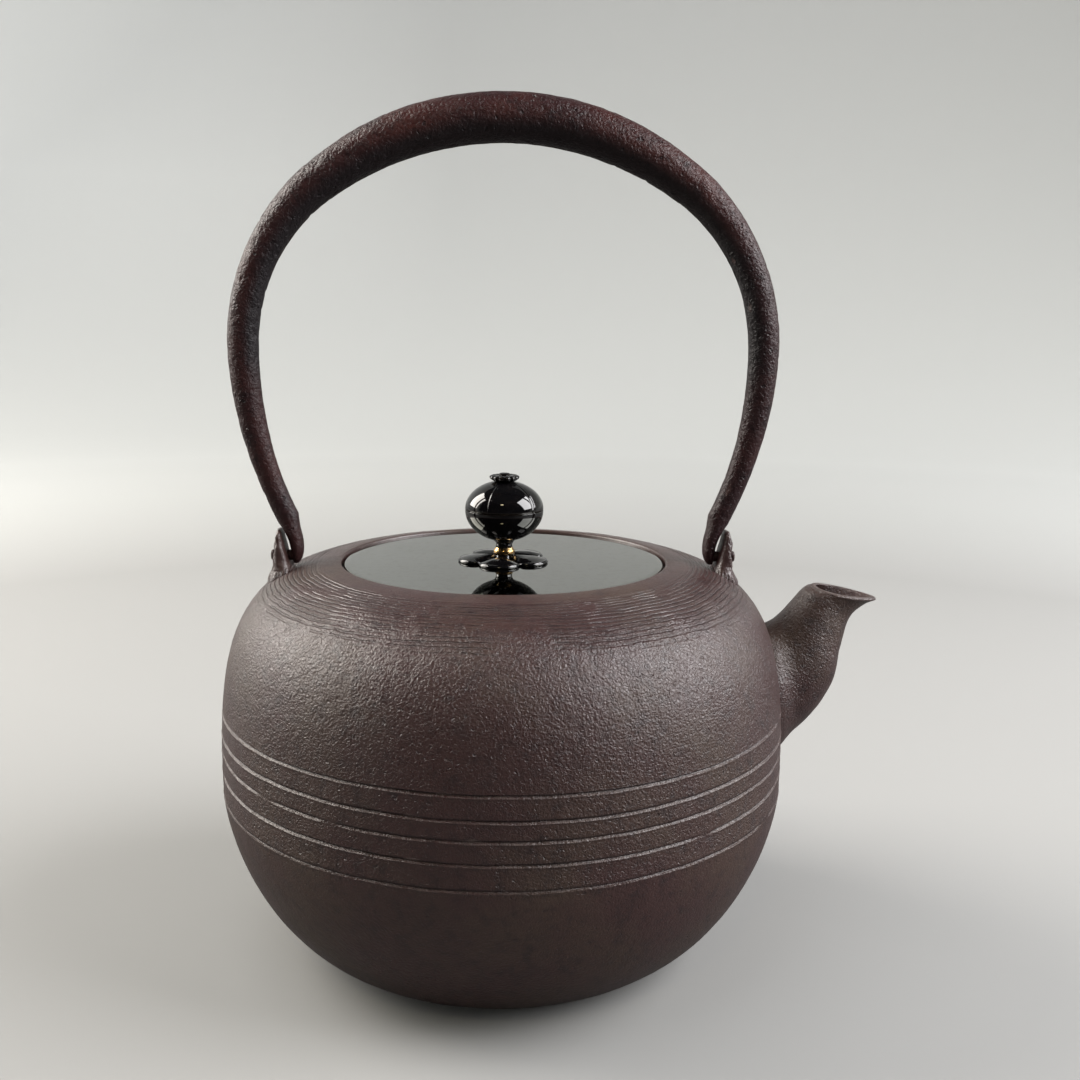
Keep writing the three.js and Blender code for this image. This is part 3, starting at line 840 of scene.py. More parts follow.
@dataclass
class Pot:
    """Cast pot with its spout and two ears."""

    foot_radius: float = 42.0
    bowl_top: float = 48.5
    bowl_powers: tuple[float, float] = (2.0, 1.55)
    shoulder_powers: tuple[float, float] = (6.0, 3.1)
    shoulder_start: float = 50.0
    shoulder_top: float = 112.0
    wall: float = 3.0
    floor: float = 3.6
    rim_inner: float = 46.0
    rim_round: float = 0.55
    ledge_radius: float = 41.0
    ledge_top: float = 108.5
    mouth_ceiling: float = 105.4
    columns: int = 400
    inner_columns: int = 112
    ear_squareness: float = 0.72
    lines: tuple[CutLine, ...] = (
        CutLine(71.9, 0.50, 0.13, (-20.0, 35.0)),
        CutLine(66.0, 0.50, 0.13, (70.0,)),
        CutLine(61.1, 0.48, 0.13, (-137.5, -121.0, 128.0)),
        CutLine(55.3, 0.48, 0.13, (-164.0, -52.0, 20.0)),
        CutLine(48.7, 0.28, 0.11, (-30.0, 95.0)),
    )
    comb_lines: int = 10
    comb_start: float = 53.6
    comb_pitch: float = 1.73
    comb_fade: float = 0.068
    comb_weak: float = 0.75
    comb_lip: float = 0.08
    comb_depth: float = 0.20
    cut_above: float = 0.42
    cut_below: float = 0.52
    line_round: float = 80.0
    comb_round: float = 60.0

    def __post_init__(self) -> None:
        """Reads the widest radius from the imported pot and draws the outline."""
        low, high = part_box("kettle_body")
        self.radius = (high.y - low.y) / 2 / MM
        self.grit = Grit(11)
        self.outline = Outline(self.outer_points())
        shoulder = self.outline.points[:, 1] > self.shoulder_start + 1
        inward = self.outline.points[shoulder][::-1, 0]
        comb = np.arange(self.comb_lines)
        combed = self.comb_start + self.comb_pitch * comb
        self.comb_travel = np.interp(combed, inward, self.outline.length[shoulder][::-1])
        self.comb_strength = (1 - self.comb_fade * comb) * np.where(comb % 2, self.comb_weak, 1)
        self.line_travel = [self.outline.travel_to_height(line.height) for line in self.lines]

    def outer_points(self) -> Array:
        """Outline of the outside from the middle of the foot to the rounded rim.

        Returns:
            Radius and height of each point.
        """
        shoulder = self.shoulder(self.radius, self.shoulder_top)
        shoulder = shoulder[shoulder[:, 0] > self.rim_inner + self.rim_round]
        turn = np.linspace(math.pi / 2, 0, 8)
        centre = (self.rim_inner + self.rim_round, shoulder[-1, 1] - self.rim_round)
        rim = np.stack([centre[0] - self.rim_round * np.cos(turn),
                        centre[1] + self.rim_round * np.sin(turn)], axis=-1)
        plug = [[self.rim_inner - 0.4, centre[1] - 0.4]]
        bowl = self.bowl(self.radius, 0.0)
        return np.vstack([[[0.5, 0.0]], bowl[:-1], shoulder, rim, plug])

    def bowl(self, radius: float, floor: float) -> Array:
        """Lower curve of a wall, from the foot at the floor's height up to its widest."""
        curve = quarter(radius - self.foot_radius, self.bowl_top - floor, *self.bowl_powers)[::-1]
        return np.stack([self.foot_radius + curve[:, 0], self.bowl_top - curve[:, 1]], axis=-1)

    def shoulder(self, radius: float, top: float) -> Array:
        """Upper curve of a wall, from its widest in to the axis at the top."""
        rise = top - self.shoulder_start
        return quarter(radius, rise, *self.shoulder_powers) + [0, self.shoulder_start]

    def line_grit(self, number: int, angle: Array, size: float, level: float) -> Array:
        """Noise along cut line number, different at each level."""
        return self.grit.along(angle, size, self.line_round, level + 40 * number)

    def comb_grit(self, number: int, angle: Array, size: float, level: float) -> Array:
        """Noise along comb line number, different at each level."""
        return self.grit.along(angle, size, self.comb_round, level + 40 * number)

    def wander(self, number: int, angle: Array) -> Array:
        """How far cut line number strays up or down at the angle."""
        slow = 0.34 * self.line_grit(number, angle, 60, 100)
        return slow + 0.10 * self.line_grit(number, angle, 7, 300)

    def comb_wander(self, number: int, angle: Array) -> Array:
        """How far comb line number strays in or out at the angle."""
        slow = 0.30 * self.comb_grit(number, angle, 26, 500)
        return slow + 0.14 * self.comb_grit(number, angle, 6, 900)

    def line_masks(self, travel: Array, angle: Array) -> tuple[Array, Array, Array]:
        """Relief of the cut and combed lines.

        Args:
            travel: Travel along the outline.
            angle: Angle round the pot.

        Returns:
            Height in millimetres, the share of pale lip paint (part wear, part painted highlight)
            and the share of painted shade in the cuts.
        """
        height, lip_wear_and_highlight, cut_shade = (np.zeros_like(travel) for _ in range(3))
        for number, line in enumerate(self.lines):
            offset = travel - self.line_travel[number] - self.wander(number, angle)
            patchy = 0.85 + 0.3 * self.line_grit(number, angle, 18, 1300)
            for gap in line.gaps:
                away = np.abs((angle - math.radians(gap) + math.pi) % TAU - math.pi)
                patchy = patchy * (0.15 + 0.85 * ease(away * self.radius, 1.5, 5.0))
            rag = (1 + 0.8 * self.line_grit(number, angle, 2.6, 2100)).clip(0.3)
            wide = np.where(offset > 0, self.cut_above, self.cut_below)
            cut = (1 - np.abs(offset) / wide).clip(0) * patchy
            lip = bell(offset + 0.62, 0.22) * patchy * rag
            height += line.lip * lip - line.depth * cut
            # The lip share is pale paint, part wear and part painted highlight; the cut share is
            # painted shade.
            face = bell(offset + 0.33, 0.20) * patchy * rag
            lip_wear_and_highlight, cut_shade = lip_wear_and_highlight + face, cut_shade + bell(offset - 0.12, 0.26) * patchy
        for number, start in enumerate(self.comb_travel):
            offset = travel - start - self.comb_wander(number, angle)
            broken = (0.55 + 0.9 * self.comb_grit(number, angle, 9, 2500)).clip(0, 1.2)
            cut = bell(offset, 0.30) * broken * self.comb_strength[number]
            lip = bell(offset + 0.65, 0.30) * broken * self.comb_strength[number]
            height += self.comb_lip * lip - self.comb_depth * cut
            # Comb lines add to the pale lip paint and to the painted shade.
            lip_wear_and_highlight, cut_shade = lip_wear_and_highlight + 0.3 * lip, cut_shade + 0.5 * cut
        return height, lip_wear_and_highlight.clip(0, 1), cut_shade.clip(0, 1)

    def coarseness(self, radius: Array, height: Array) -> Array:
        """How sandy the skin is: full on the wall, less below and at the rim.

        Args:
            radius: Distances from the Z axis.
            height: Heights above the floor.

        Returns:
            Share of the full sandiness.
        """
        below = 1 - 0.5 * ease(-height, -49.5, -46.0)
        rim = 1 - 0.6 * ease(-radius, -54.5, -51.5) * ease(height, 100, 104)
        combed = 1 - 0.5 * ease(-radius, -66.5, -61.5) * ease(height, 92, 98)
        return below * rim * combed

    def skin(self, points: Array) -> Array:
        """Unevenness of the casting in millimetres."""
        broad = 0.17 * self.grit.layered(points, 26, 2)
        return broad + 0.07 * self.grit.layered(points, 4.6, 2)

    def row_spacing(self) -> Array:
        """Distance between rings, close where there are lines and wide elsewhere.

        Returns:
            Millimetres at each point of the outline.
        """
        length = self.outline.length
        radius, height = self.outline.points.T
        spacing = np.full(len(length), 2.1)
        spacing[radius < self.foot_radius - 3] = 6.0
        spacing[(height < 1) & (radius > self.foot_radius - 3)] = 0.8
        for start in self.line_travel:
            spacing[np.abs(length - start + 0.15) < 1.05] = 0.19
        combed = (length > self.comb_travel[-1] - 1.2) & (length < self.comb_travel[0] + 1)
        spacing[combed] = 0.42
        spacing[length > length[-1] - 1.6] = 0.22
        return spacing

    def shell(self) -> Piece:
        """Outside of the pot as one solid block.

        Returns:
            The block.
        """
        line = self.outline
        rows = line.rows(self.row_spacing())
        angle = np.linspace(0, TAU, self.columns, endpoint=False)
        travel, around = np.meshgrid(rows, angle, indexing="ij")
        shift = np.zeros_like(travel)
        for number, start in enumerate(self.line_travel):
            shift += self.wander(number, around) * bell(travel - start, 1.9)
        for number, start in enumerate(self.comb_travel):
            shift += self.comb_wander(number, around) * bell(travel - start, 0.8)
        travel = travel + shift
        radius, height = line.at(travel)
        out, up = line.outward(travel)
        plain = rings_about_axis(radius, height, around)
        lift = self.line_masks(travel, around)[0]
        lift = lift + self.skin(plain) * self.coarseness(radius, height)
        lift *= ease(line.length[-1] - travel, 0.2, 2.5)
        lift *= ease(travel, self.foot_radius - 4, self.foot_radius + 6)
        height = np.maximum(height + up * lift, 0)
        rings = rings_about_axis(radius + out * lift, height, around)
        return closed_skin("pot", rings, Ends.CAPPED)

    def cavity(self) -> Piece:
        """Room inside the pot with the mouth and the ledge for the lid.

        Returns:
            The shape to cut away.
        """
        inner = self.radius - self.wall
        bowl = self.bowl(inner, self.floor)
        roof = self.shoulder(inner, self.mouth_ceiling + 0.6)
        roof = roof[roof[:, 0] > self.ledge_radius + 1]
        line = Outline(np.vstack([[[0.5, self.floor]], bowl[:-1], roof]))
        rows = line.rows(np.full(len(line.length), 3.0))
        angle = np.linspace(0, TAU, self.inner_columns, endpoint=False)
        travel, around = np.meshgrid(rows, angle, indexing="ij")
        radius, height = line.at(travel)
        out, up = line.outward(travel)
        plain = rings_about_axis(radius, height, around)
        lift = 0.35 * self.grit.layered(plain + 500, 11, 3) * ease(line.length[-1] - travel, 0, 6)
        body = rings_about_axis(radius + out * lift, height + up * lift, around)
        throat = np.array([
            [self.ledge_radius, self.mouth_ceiling],
            [self.ledge_radius, self.ledge_top - 0.3],
            [self.ledge_radius + 0.3, self.ledge_top],
            [self.rim_inner, self.ledge_top],
            [self.rim_inner, self.shoulder_top + 2],
        ])
        wide = np.broadcast_to(throat[:, :1], (len(throat), len(angle)))
        mouth = rings_about_axis(wide, throat[:, 1:], angle)
        return closed_skin("cavity", np.vstack([body, mouth]), Ends.CAPPED)

    def skin_gap(self, points: Array) -> Array:
        """Distance of points from the pot's shoulder and wall, outside positive.

        Args:
            points: Places in millimetres, with x, y and z last.

        Returns:
            Millimetres from the skin.
        """
        radius = np.hypot(points[..., 0], points[..., 1])
        power_side, power_up = self.shoulder_powers
        tall = self.shoulder_top - self.shoulder_start
        side = (radius / self.radius) ** power_side
        rise = ((points[..., 2] - self.shoulder_start) / tall).clip(0)
        level = side + rise**power_up
        slope_up = power_up * rise ** (power_up - 1) / tall
        slope = np.hypot(power_side * side / radius.clip(1), slope_up)
        return (level - 1) / slope.clip(0.02)

    def ear(self, side: int) -> Piece:
        """One ear; side is +1 next to the spout and -1 opposite.

        Args:
            side: +1 next to the spout and -1 opposite.

        Returns:
            The ear.
        """
        stations = [
            # height, inner face, outer face, half width
            [100.5, 58.9, 65.6, 5.6],
            [104.5, 59.6, 65.5, 5.4],
            [108.5, 60.4, 65.3, 5.1],
            [112.5, 61.3, 65.1, 4.7],
            [116.0, 62.1, 64.9, 4.2],
            [118.4, 62.7, 64.3, 3.4],
            [119.3, 63.3, 63.9, 2.2],
        ]
        share = np.linspace(0, 1, 56) ** 0.85
        height, inner, outer, half = through(stations, share).T
        turn = np.linspace(0, TAU, 56, endpoint=False)
        across = np.sign(np.cos(turn)) * np.abs(np.cos(turn)) ** self.ear_squareness
        along = np.sign(np.sin(turn)) * np.abs(np.sin(turn)) ** self.ear_squareness
        x = (inner + outer)[:, None] / 2 + (outer - inner)[:, None] / 2 * across
        y = half[:, None] * along
        z = np.broadcast_to(height[:, None], x.shape)
        points = np.stack([x, y, z], axis=-1)
        flare = 1.5 * (1 - ease(self.skin_gap(points), -0.5, 3.2))
        points[..., 1] += flare * along
        points[..., 0] += np.where(across > 0, flare * across, 0.3 * flare * across)
        rough = 0.34 * self.grit.layered(points + 77 * side, 3.4, 3)
        outside = ease(across + 0 * x, -0.2, 0.5) * 0.85 + 0.15
        points[..., 0] += rough * outside * np.sign(across + 0 * x)
        points[..., 1] += rough * 0.7 * along
        points[..., 0] *= side
        return closed_skin("ear", points, Ends.CAPPED)

    def ear_hole(self, side: int) -> Piece:
        """Round hole through an ear for the bail's peg."""
        stations = [[55.0, 1.9], [61.0, 1.9], [61.9, 1.95], [64.6, 2.0], [65.2, 2.25], [70.0, 2.5]]
        return hinge_bar("ear_hole", stations, side, 36, 0.0)

    def build(self) -> Piece:
        """Casts the pot: block, spout and ears, then cavity, channel and holes.

        Returns:
            The dressed pot.
        """
        pot = self.shell()
        spout = Spout(self)
        carve(pot, spout.outside(), Cut.UNITE)
        for side in (-1, 1):
            carve(pot, self.ear(side), Cut.UNITE)
        carve(pot, self.cavity(), Cut.REMOVE)
        carve(pot, spout.channel(), Cut.REMOVE)
        for side in (-1, 1):
            carve(pot, self.ear_hole(side), Cut.REMOVE)
        soften(pot, 38)
        self.paint_masks(pot)
        return dress(pot, Body.POT, CAST_IRON.material(), "kettle_body")

    def paint_masks(self, pot: Piece) -> None:
        """Paints where the skin is coarse, where the lips take pale paint that is part wear and
        part painted highlight, and where painted shade darkens the cuts and the pot's inside.

        Args:
            pot: The carved pot.
        """
        points = mesh_points(pot)
        height = points[:, 2]
        radius, angle = np.hypot(points[:, 0], points[:, 1]), np.arctan2(points[:, 1], points[:, 0])
        travel_up = self.outline.travel_to_height(height)
        plain = self.outline.at(travel_up)[0]
        upper = self.outline.points[:, 1] > 80
        inward = self.outline.points[upper][::-1]
        lengths = self.outline.length[upper][::-1]
        order = np.argsort(inward[:, 0])
        travel_in = np.interp(radius, inward[order, 0], lengths[order])
        travel = np.where(height > 96, travel_in, travel_up)
        skin_radius, skin_height = self.outline.at(travel)
        away = np.hypot(radius - skin_radius, height - skin_height)
        outside = ease(-away, -1.6, -0.9)
        _, lip_wear_and_highlight, cut_shade = self.line_masks(travel, angle)
        inside = ease(plain - radius, 1.6, 2.4) * (height < 105) * (radius < 79)
        paint(pot, "coarse", self.coarseness(radius, height) * (1 - 0.4 * inside))
        zone = ease(radius, 51.5, 54.0) * ease(-radius, -71.0, -66.0) * ease(height, 92, 97)
        paint(pot, "comb", zone * outside)
        # Pale lip paint, part wear and part painted highlight.
        paint(pot, "lip", lip_wear_and_highlight * outside * 0.5)
        # Painted shade in the cuts and on the pot's inside.
        paint(pot, "shade", (cut_shade * outside * 0.8 + 0.5 * inside).clip(0, 1))


@dataclass
class Spout:
    """Short curved spout, wide at the root, with a slanting pointed mouth."""

    pot: Pot
    upper: Knots = ((71, 86), (76.6, 90.6), (80.6, 94.9), (84, 99), (86.8, 102.2), (89, 103.3))
    lower: Knots = ((72, 50.5), (87.6, 62.2), (95.9, 74.2), (98, 85.5), (100.8, 95), (108, 100))
    half_width: Knots = ((12.6,), (11.8,), (10.6,), (9.0,), (7.8,), (7.6,))
    wall: float = 2.6
    rim_wall: float = 1.7
    lip_point: float = 0.32
    round_edge: float = 0.6
    columns: int = 60
    channel_columns: int = 44

    def sections(self, share: Array, inset: Array, push: Array, columns: int) -> Array:
        """Rings of the spout.

        Args:
            share: Where each ring is, 0 at the root and 1 at the mouth.
            inset: How far each ring is drawn in from the outside.
            push: How far each ring is moved on along the spout.
            columns: Points in a ring.

        Returns:
            Rings of points in millimetres.
        """
        top, bottom = through(self.upper, share), through(self.lower, share)
        width = through(self.half_width, share)[:, 0] - inset
        down = bottom - top
        length = np.hypot(*down.T)
        down = down / length[:, None]
        forward = np.stack([-down[:, 1], down[:, 0]], axis=-1)
        centre = (top + bottom) / 2 + forward * push[:, None]
        turn = np.linspace(0, TAU, columns, endpoint=False)
        narrowing = 1 - self.lip_point * np.clip(share, 0, 1)[:, None] ** 3 * np.cos(turn)
        deep = (length / 2 - inset)[:, None] * np.cos(turn)
        x = centre[:, :1] + down[:, :1] * deep
        z = centre[:, 1:] + down[:, 1:] * deep
        y = width[:, None] * np.sin(turn) * narrowing
        return np.stack([x, y, z], axis=-1)

    def outside(self) -> Piece:
        """Outside of the spout, flared where it grows out of the wall.

        Returns:
            The solid spout.
        """
        edge = np.linspace(0, math.pi / 2, 5)
        share = np.concatenate([np.zeros(2), np.linspace(0, 1, 78), np.ones(5)])
        inset = np.concatenate([np.zeros(80), self.round_edge * (1 - np.cos(edge))])
        push = np.concatenate([[-6, -3], np.zeros(78), self.round_edge * np.sin(edge)])
        push = push - self.round_edge * ease(share, 0.9, 1)
        rings = self.sections(share, inset, push, self.columns)
        gap = self.pot.skin_gap(rings)
        turn = np.linspace(0, TAU, self.columns, endpoint=False)
        reach = 1.1 + 1.9 * np.abs(np.sin(turn))
        flare = reach * (1 - ease(gap, -1.0, 6.0)) ** 1.5
        away = rings - rings.mean(axis=1, keepdims=True)
        away /= np.linalg.norm(away, axis=-1, keepdims=True)
        rings = rings + away * flare[..., None]
        grain = self.pot.skin(rings) * ease(1 - share, 0.0, 0.15)[:, None]
        rings = rings + away * grain[..., None]
        return closed_skin("spout", rings, Ends.CAPPED)

    def channel(self) -> Piece:
        """Way through the spout, opened a little at the mouth.

        Returns:
            The shape to cut away.
        """
        share = np.concatenate([[0, 0], np.linspace(0, 1, 40), [1, 1, 1]])
        push = np.concatenate([[-9, -4], np.zeros(40), [0.5, 1.5, 4.0]])
        wall = self.wall + (self.rim_wall - self.wall) * np.clip(share, 0, 1)
        wall = wall - 0.35 * ease(share + push / 40, 0.97, 1.03)
        rings = self.sections(share, wall, push, self.channel_columns)
        return closed_skin("channel", rings, Ends.CAPPED)


# ---------------------------------------------------------------------- lid


@dataclass
class Turned:
    """A turned part: an outline swept about the knob's axis, and a surface relief."""

    columns: int = 160

    def sweep(self, name: str, corners: Sequence[Any], spacing: float, ends: Ends,
              relief: Relief | None = None) -> Piece:
        """Turns an outline about the Z axis.

        Args:
            name: Name of the piece.
            corners: Radius and height of the outline's corners.
            spacing: Longest distance between two rings.
            ends: Capped for a solid core, joined for a part with a bore.
            relief: Takes and returns rings of radius, height and angle.

        Returns:
            The new piece.
        """
        line = Outline(np.asarray(corners, float))
        parts = [
            np.linspace(a, b, max(2, int(math.ceil((b - a) / spacing)) + 1))[:-1]
            for a, b in zip(line.length[:-1], line.length[1:])
        ]
        rows = np.concatenate(parts + ([] if ends is Ends.JOINED else [line.length[-1:]]))
        radius, height = line.at(rows)
        angle = np.linspace(0, TAU, self.columns, endpoint=False)
        radius, around = np.meshgrid(radius, angle, indexing="ij")
        height = np.broadcast_to(height[:, None], radius.shape)
        if relief is not None:
            radius, height = relief(radius, height, around)
        return closed_skin(name, rings_about_axis(radius, height, around), ends)


def bevelled(corners: Sequence[Sequence[float]], size: float, closed: bool) -> Array:
    """Outline with each corner rounded by three short steps.

    Args:
        corners: Radius and height of the sharp corners.
        size: How far from the corner the rounding starts.
        closed: True if the last corner runs back to the first.

    Returns:
        The rounded outline, ending where it starts if it is closed.
    """
    points = np.asarray(corners, float)
    made: list[Array] = []
    count = len(points)
    for k in range(count):
        here = points[k]
        if not closed and k in (0, count - 1):
            made.append(here)
            continue
        before, after = points[k - 1] - here, points[(k + 1) % count] - here
        cut = min(size, 0.4 * np.hypot(*before), 0.4 * np.hypot(*after))
        start = here + before / np.hypot(*before) * cut
        end = here + after / np.hypot(*after) * cut
        for t in (0, 1 / 3, 2 / 3, 1):
            made.append((1 - t) ** 2 * start + 2 * t * (1 - t) * here + t**2 * end)
    if closed:
        made.append(made[0])
    return np.array(made)


@dataclass
class Lid(Turned):
    """Flat bronze lid with its locating ring, and the flower under the knob."""

    columns: int = 240
    edge: float = 0.32
    plate: float = 1.9
    bore: float = 1.6
    skirt: tuple[float, float] = (40.3, 38.7)
    petals: int = 5
    petal_angle: float = -99.0
    petal_rise: float = 1.12
    petal_foot: float = 2.6
    petal_rings: int = 52
    petal_under_rings: int = 7
    petal_columns: int = 360
    petal_reach: float = 13.2
    notch: float = 0.30

    def __post_init__(self) -> None:
        """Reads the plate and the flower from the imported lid."""
        low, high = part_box("lid_plate")
        self.radius, self.top, self.foot = high.x / MM, high.z / MM, low.z / MM
        low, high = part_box("flower_washer")
        self.flower = (self.petal_reach, low.z / MM, high.z / MM)
        low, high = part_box("lid_backing_washer")
        self.backing = (high.x / MM, low.z / MM, high.z / MM)
        self.grit = Grit(23)

    def plate_piece(self) -> Piece:
        """Plate with the ring that holds it in the mouth.

        Returns:
            The plate.
        """
        under = self.top - self.plate
        outer, inner = self.skirt
        corners = [
            [self.bore, under], [inner, under], [inner, self.foot], [outer, self.foot],
            [outer, under], [self.radius, under], [self.radius, self.top], [self.bore, self.top],
        ]

        def relief(radius: Array, height: Array, around: Array) -> tuple[Array, Array]:
            """Slight hollows left by hand finishing.

            Args:
                radius: Distances from the Z axis.
                height: Heights above the floor.
                around: Angle round the Z axis.

            Returns:
                The changed radii and heights.
            """
            points = rings_about_axis(radius, height, around)
            dip = 0.035 * self.grit.layered(points, 34, 2) * ease(radius, 3, 10)
            return radius, height + dip * ease(self.radius - radius, 0.2, 3)

        return self.sweep("lid", bevelled(corners, self.edge, True), 1.6, Ends.JOINED, relief)

    def backing_piece(self) -> Piece:
        """Small washer below the lid that the pin is peened over.

        Returns:
            The washer.
        """
        radius, low, high = self.backing
        corners = [[self.bore, low], [radius, low], [radius, high], [self.bore, high]]

        def relief(ring: Array, height: Array, around: Array) -> tuple[Array, Array]:
            """File marks on the rim."""
            return ring + 0.03 * np.sin(37 * around) * ease(ring, radius - 0.4, radius), height

        rounded = bevelled(corners, 0.25, True)
        return self.sweep("backing_washer", rounded, 0.5, Ends.JOINED, relief)

    def flower_piece(self) -> Piece:
        """Five domed petals with a fine raised rim and a valley between them.

        Returns:
            The flower.
        """
        reach, low, high = self.flower
        inner, under = self.bore, self.petal_under_rings
        share = 1 - (1 - np.linspace(0, 1, self.petal_rings)) ** 1.6
        angle = np.linspace(0, TAU, self.petal_columns, endpoint=False)
        share, around = np.meshgrid(share, angle, indexing="ij")
        turn = self.petals * (around - math.radians(self.petal_angle)) / 2
        petal = np.abs(np.cos(turn))
        outer = reach * (1 - self.notch * (1 - petal**0.55))
        radius = inner + (outer - inner) * share
        from_edge = outer - radius
        from_valley = radius * np.arcsin(np.clip(petal, 0, 1)) * 2 / self.petals
        rounding = np.sqrt(1 - (1 - from_edge / 0.55).clip(0, 1) ** 2)
        dome = 1 - (1 - from_edge / 5.0).clip(0, 1) ** 2
        dome = dome * (1 - (1 - from_valley / 3.6).clip(0, 1) ** 2)
        slope = (from_edge / (reach - self.petal_foot)).clip(0, 1)
        height = 0.25 + 0.40 * rounding + self.petal_rise * dome * (0.55 + 0.65 * slope)
        height += 0.12 * bell(from_edge - 0.45, 0.22)
        height -= 0.30 * bell(from_valley, 0.4) * rounding
        hub = ease(-radius, -3.3, -2.6)
        height = height * (1 - hub) + (high - low) * hub
        height = height.clip(0.2)
        height[-1] = 0.3
        top = rings_about_axis(radius, low + height, around)
        edge_radius = outer[-1] - 0.12
        bottom_share = np.linspace(1, 0, under)[:, None]
        flat = inner + (edge_radius - inner) * bottom_share
        base = rings_about_axis(flat, np.full_like(flat, low), around[:under])
        flower = closed_skin("petal_washer", np.vstack([top, base]), Ends.JOINED)
        soften(flower, 50)
        return flower

    def build(self) -> None:
        """Makes the lid's pieces and dresses them."""
        bronze, lacquer = LID_BRONZE.material(), BLACK_LACQUER.material()
        plate = self.plate_piece()
        soften(plate, 35)
        dress(plate, Body.LID, bronze, "lid_plate")
        backing = self.backing_piece()
        soften(backing, 35)
        dress(backing, Body.LID, bronze, "lid_backing_washer")
        dress(self.flower_piece(), Body.LID, lacquer, "flower_washer")


# --------------------------------------------------------------------- knob


@dataclass
class Knob(Turned):
    """Lacquered knob of two shells on a waisted neck, with collar and finial."""

    columns: int = 200
    dome_columns: int = 420
    shell: float = 0.9
    neck: float = 2.4
    flare: float = 3.4
    bore: float = 1.45
    beads: int = 14
    fold_angles: tuple[float, ...] = (-116, -44, 28, 100, 172)

    def __post_init__(self) -> None:
        """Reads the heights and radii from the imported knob."""
        nodes = ("knob_lower_shell", "knob_upper_shell", "knob_collar", "knob_finial", "knob_pin")
        self.lower, self.upper, self.collar, self.finial, self.pin = (
            [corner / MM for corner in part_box(node)] for node in nodes
        )
        self.radius = self.lower[1].x

    def lower_piece(self) -> Piece:
        """Cup with its waisted neck and a rolled lip at the seam.

        Returns:
            The cup.
        """
        foot, seam = self.lower[0].z, self.lower[1].z
        depth = seam - (foot + 2.0)
        turn = np.linspace(0.32, math.pi / 2, 26)
        bowl = np.stack([self.radius * np.sin(turn), seam - 0.15 - depth * np.cos(turn)], axis=-1)
        lip = [
            [self.radius, seam - 0.02], [self.radius - 0.03, seam + 0.05],
            [self.radius - 0.12, seam + 0.08], [self.radius - self.shell, seam + 0.08],
        ]
        back = np.stack([(self.radius - self.shell) * np.sin(turn),
                         seam - (depth - self.shell) * np.cos(turn)], axis=-1)[::-1][2:]
        neck = [
            [self.bore, foot], [self.neck - 0.15, foot], [self.neck, foot + 0.2],
            [self.neck - 0.12, foot + 0.9], [self.neck + 0.25, foot + 1.7],
        ]
        core = [[self.bore, back[-1][1]], [self.bore, foot]]
        corners = np.vstack([neck, bowl, lip, back, core])
        return self.sweep("knob_lower", corners, 0.6, Ends.JOINED)

    def upper_piece(self) -> Piece:
        """Dome folded into five petals that meet at the crown.

        Returns:
            The dome.
        """
        seam, crown = self.upper[0].z, self.upper[1].z
        rise = crown - seam
        turn = np.linspace(0, math.pi / 2, 30)[:-2]
        dome = np.stack([self.radius * np.cos(turn),
                         seam + 0.02 + (rise - 0.02) * np.sin(turn)], axis=-1)
        inside = np.stack([(self.radius - self.shell) * np.cos(turn[::3]),
                           seam + (rise - self.shell) * np.sin(turn[::3])], axis=-1)[::-1]
        start = [
            [self.radius - self.shell, seam - 0.1], [self.radius - 0.16, seam - 0.1],
            [self.radius - 0.05, seam - 0.06],
        ]
        crown_ring = [[self.bore, crown], [self.bore, crown - self.shell]]
        corners = np.vstack([start, dome, crown_ring, inside, start[:1]])
        folds = np.radians(self.fold_angles)

        def relief(radius: Array, height: Array, around: Array) -> tuple[Array, Array]:
            """Fine cut lines along the petal edges, with a second one beside.

            Args:
                radius: Distances from the Z axis.
                height: Heights above the floor.
                around: Angle round the Z axis.

            Returns:
                The changed radii and heights.
            """
            outer = ease(radius / self.radius, 0.12, 0.2) * ease(height, seam + 0.4, seam + 0.9)
            skin = ease(radius**2 / self.radius**2 + (height - seam) ** 2 / rise**2, 0.93, 0.97)
            cut = np.zeros_like(radius)
            for fold in folds:
                gap = (around - fold + math.pi) % TAU - math.pi
                cut += 0.13 * bell(gap * radius, 0.20) + 0.06 * bell(gap * radius - 0.8, 0.16)
            keep = 1 - cut * outer * skin / self.radius
            return radius * keep, seam + (height - seam) * keep

        return Turned(self.dome_columns).sweep("knob_upper", corners, 0.7, Ends.JOINED, relief)

    def collar_piece(self) -> Piece:
        """Brass collar with a rounded bead and a hollow above it.

        Returns:
            The collar.
        """
        low, high, radius = self.collar[0].z, self.collar[1].z, self.collar[1].x
        corners = [
            [self.bore, low], [radius - 0.35, low], [radius - 0.12, low + 0.12],
            [radius, low + 0.5], [radius - 0.02, low + 0.9], [radius - 0.16, low + 1.25],
            [radius - 0.42, low + 1.6], [radius - 0.62, low + 1.9], [radius - 0.72, high - 0.1],
            [radius - 0.85, high], [self.bore, high], [self.bore, low],
        ]

        def relief(ring: Array, height: Array, around: Array) -> tuple[Array, Array]:
            """Hand-filed flats round the foot of the collar."""
            flats = 0.05 * np.cos(11 * around) * bell(height - low - 0.4, 0.3)
            return ring + flats * ease(ring, radius - 0.5, radius - 0.1), height

        return self.sweep("collar", corners, 0.25, Ends.JOINED, relief)

    def finial_piece(self) -> Piece:
        """Small flower on the crown: a scalloped edge with a ring of beads.

        Returns:
            The finial.
        """
        low, high, radius = self.finial[0].z, self.finial[1].z, self.finial[1].x
        corners = [
            [self.bore, low - 0.1], [radius - 1.1, low - 0.1], [radius - 0.75, low + 0.1],
            [radius - 0.25, low + 0.55], [radius, low + 0.95], [radius - 0.05, low + 1.15],
            [radius - 0.35, low + 1.32], [3.0, low + 1.42], [2.2, low + 1.3], [1.9, low + 1.3],
            [1.75, high - 0.35], [self.bore, high - 0.3], [self.bore, low - 0.1],
        ]

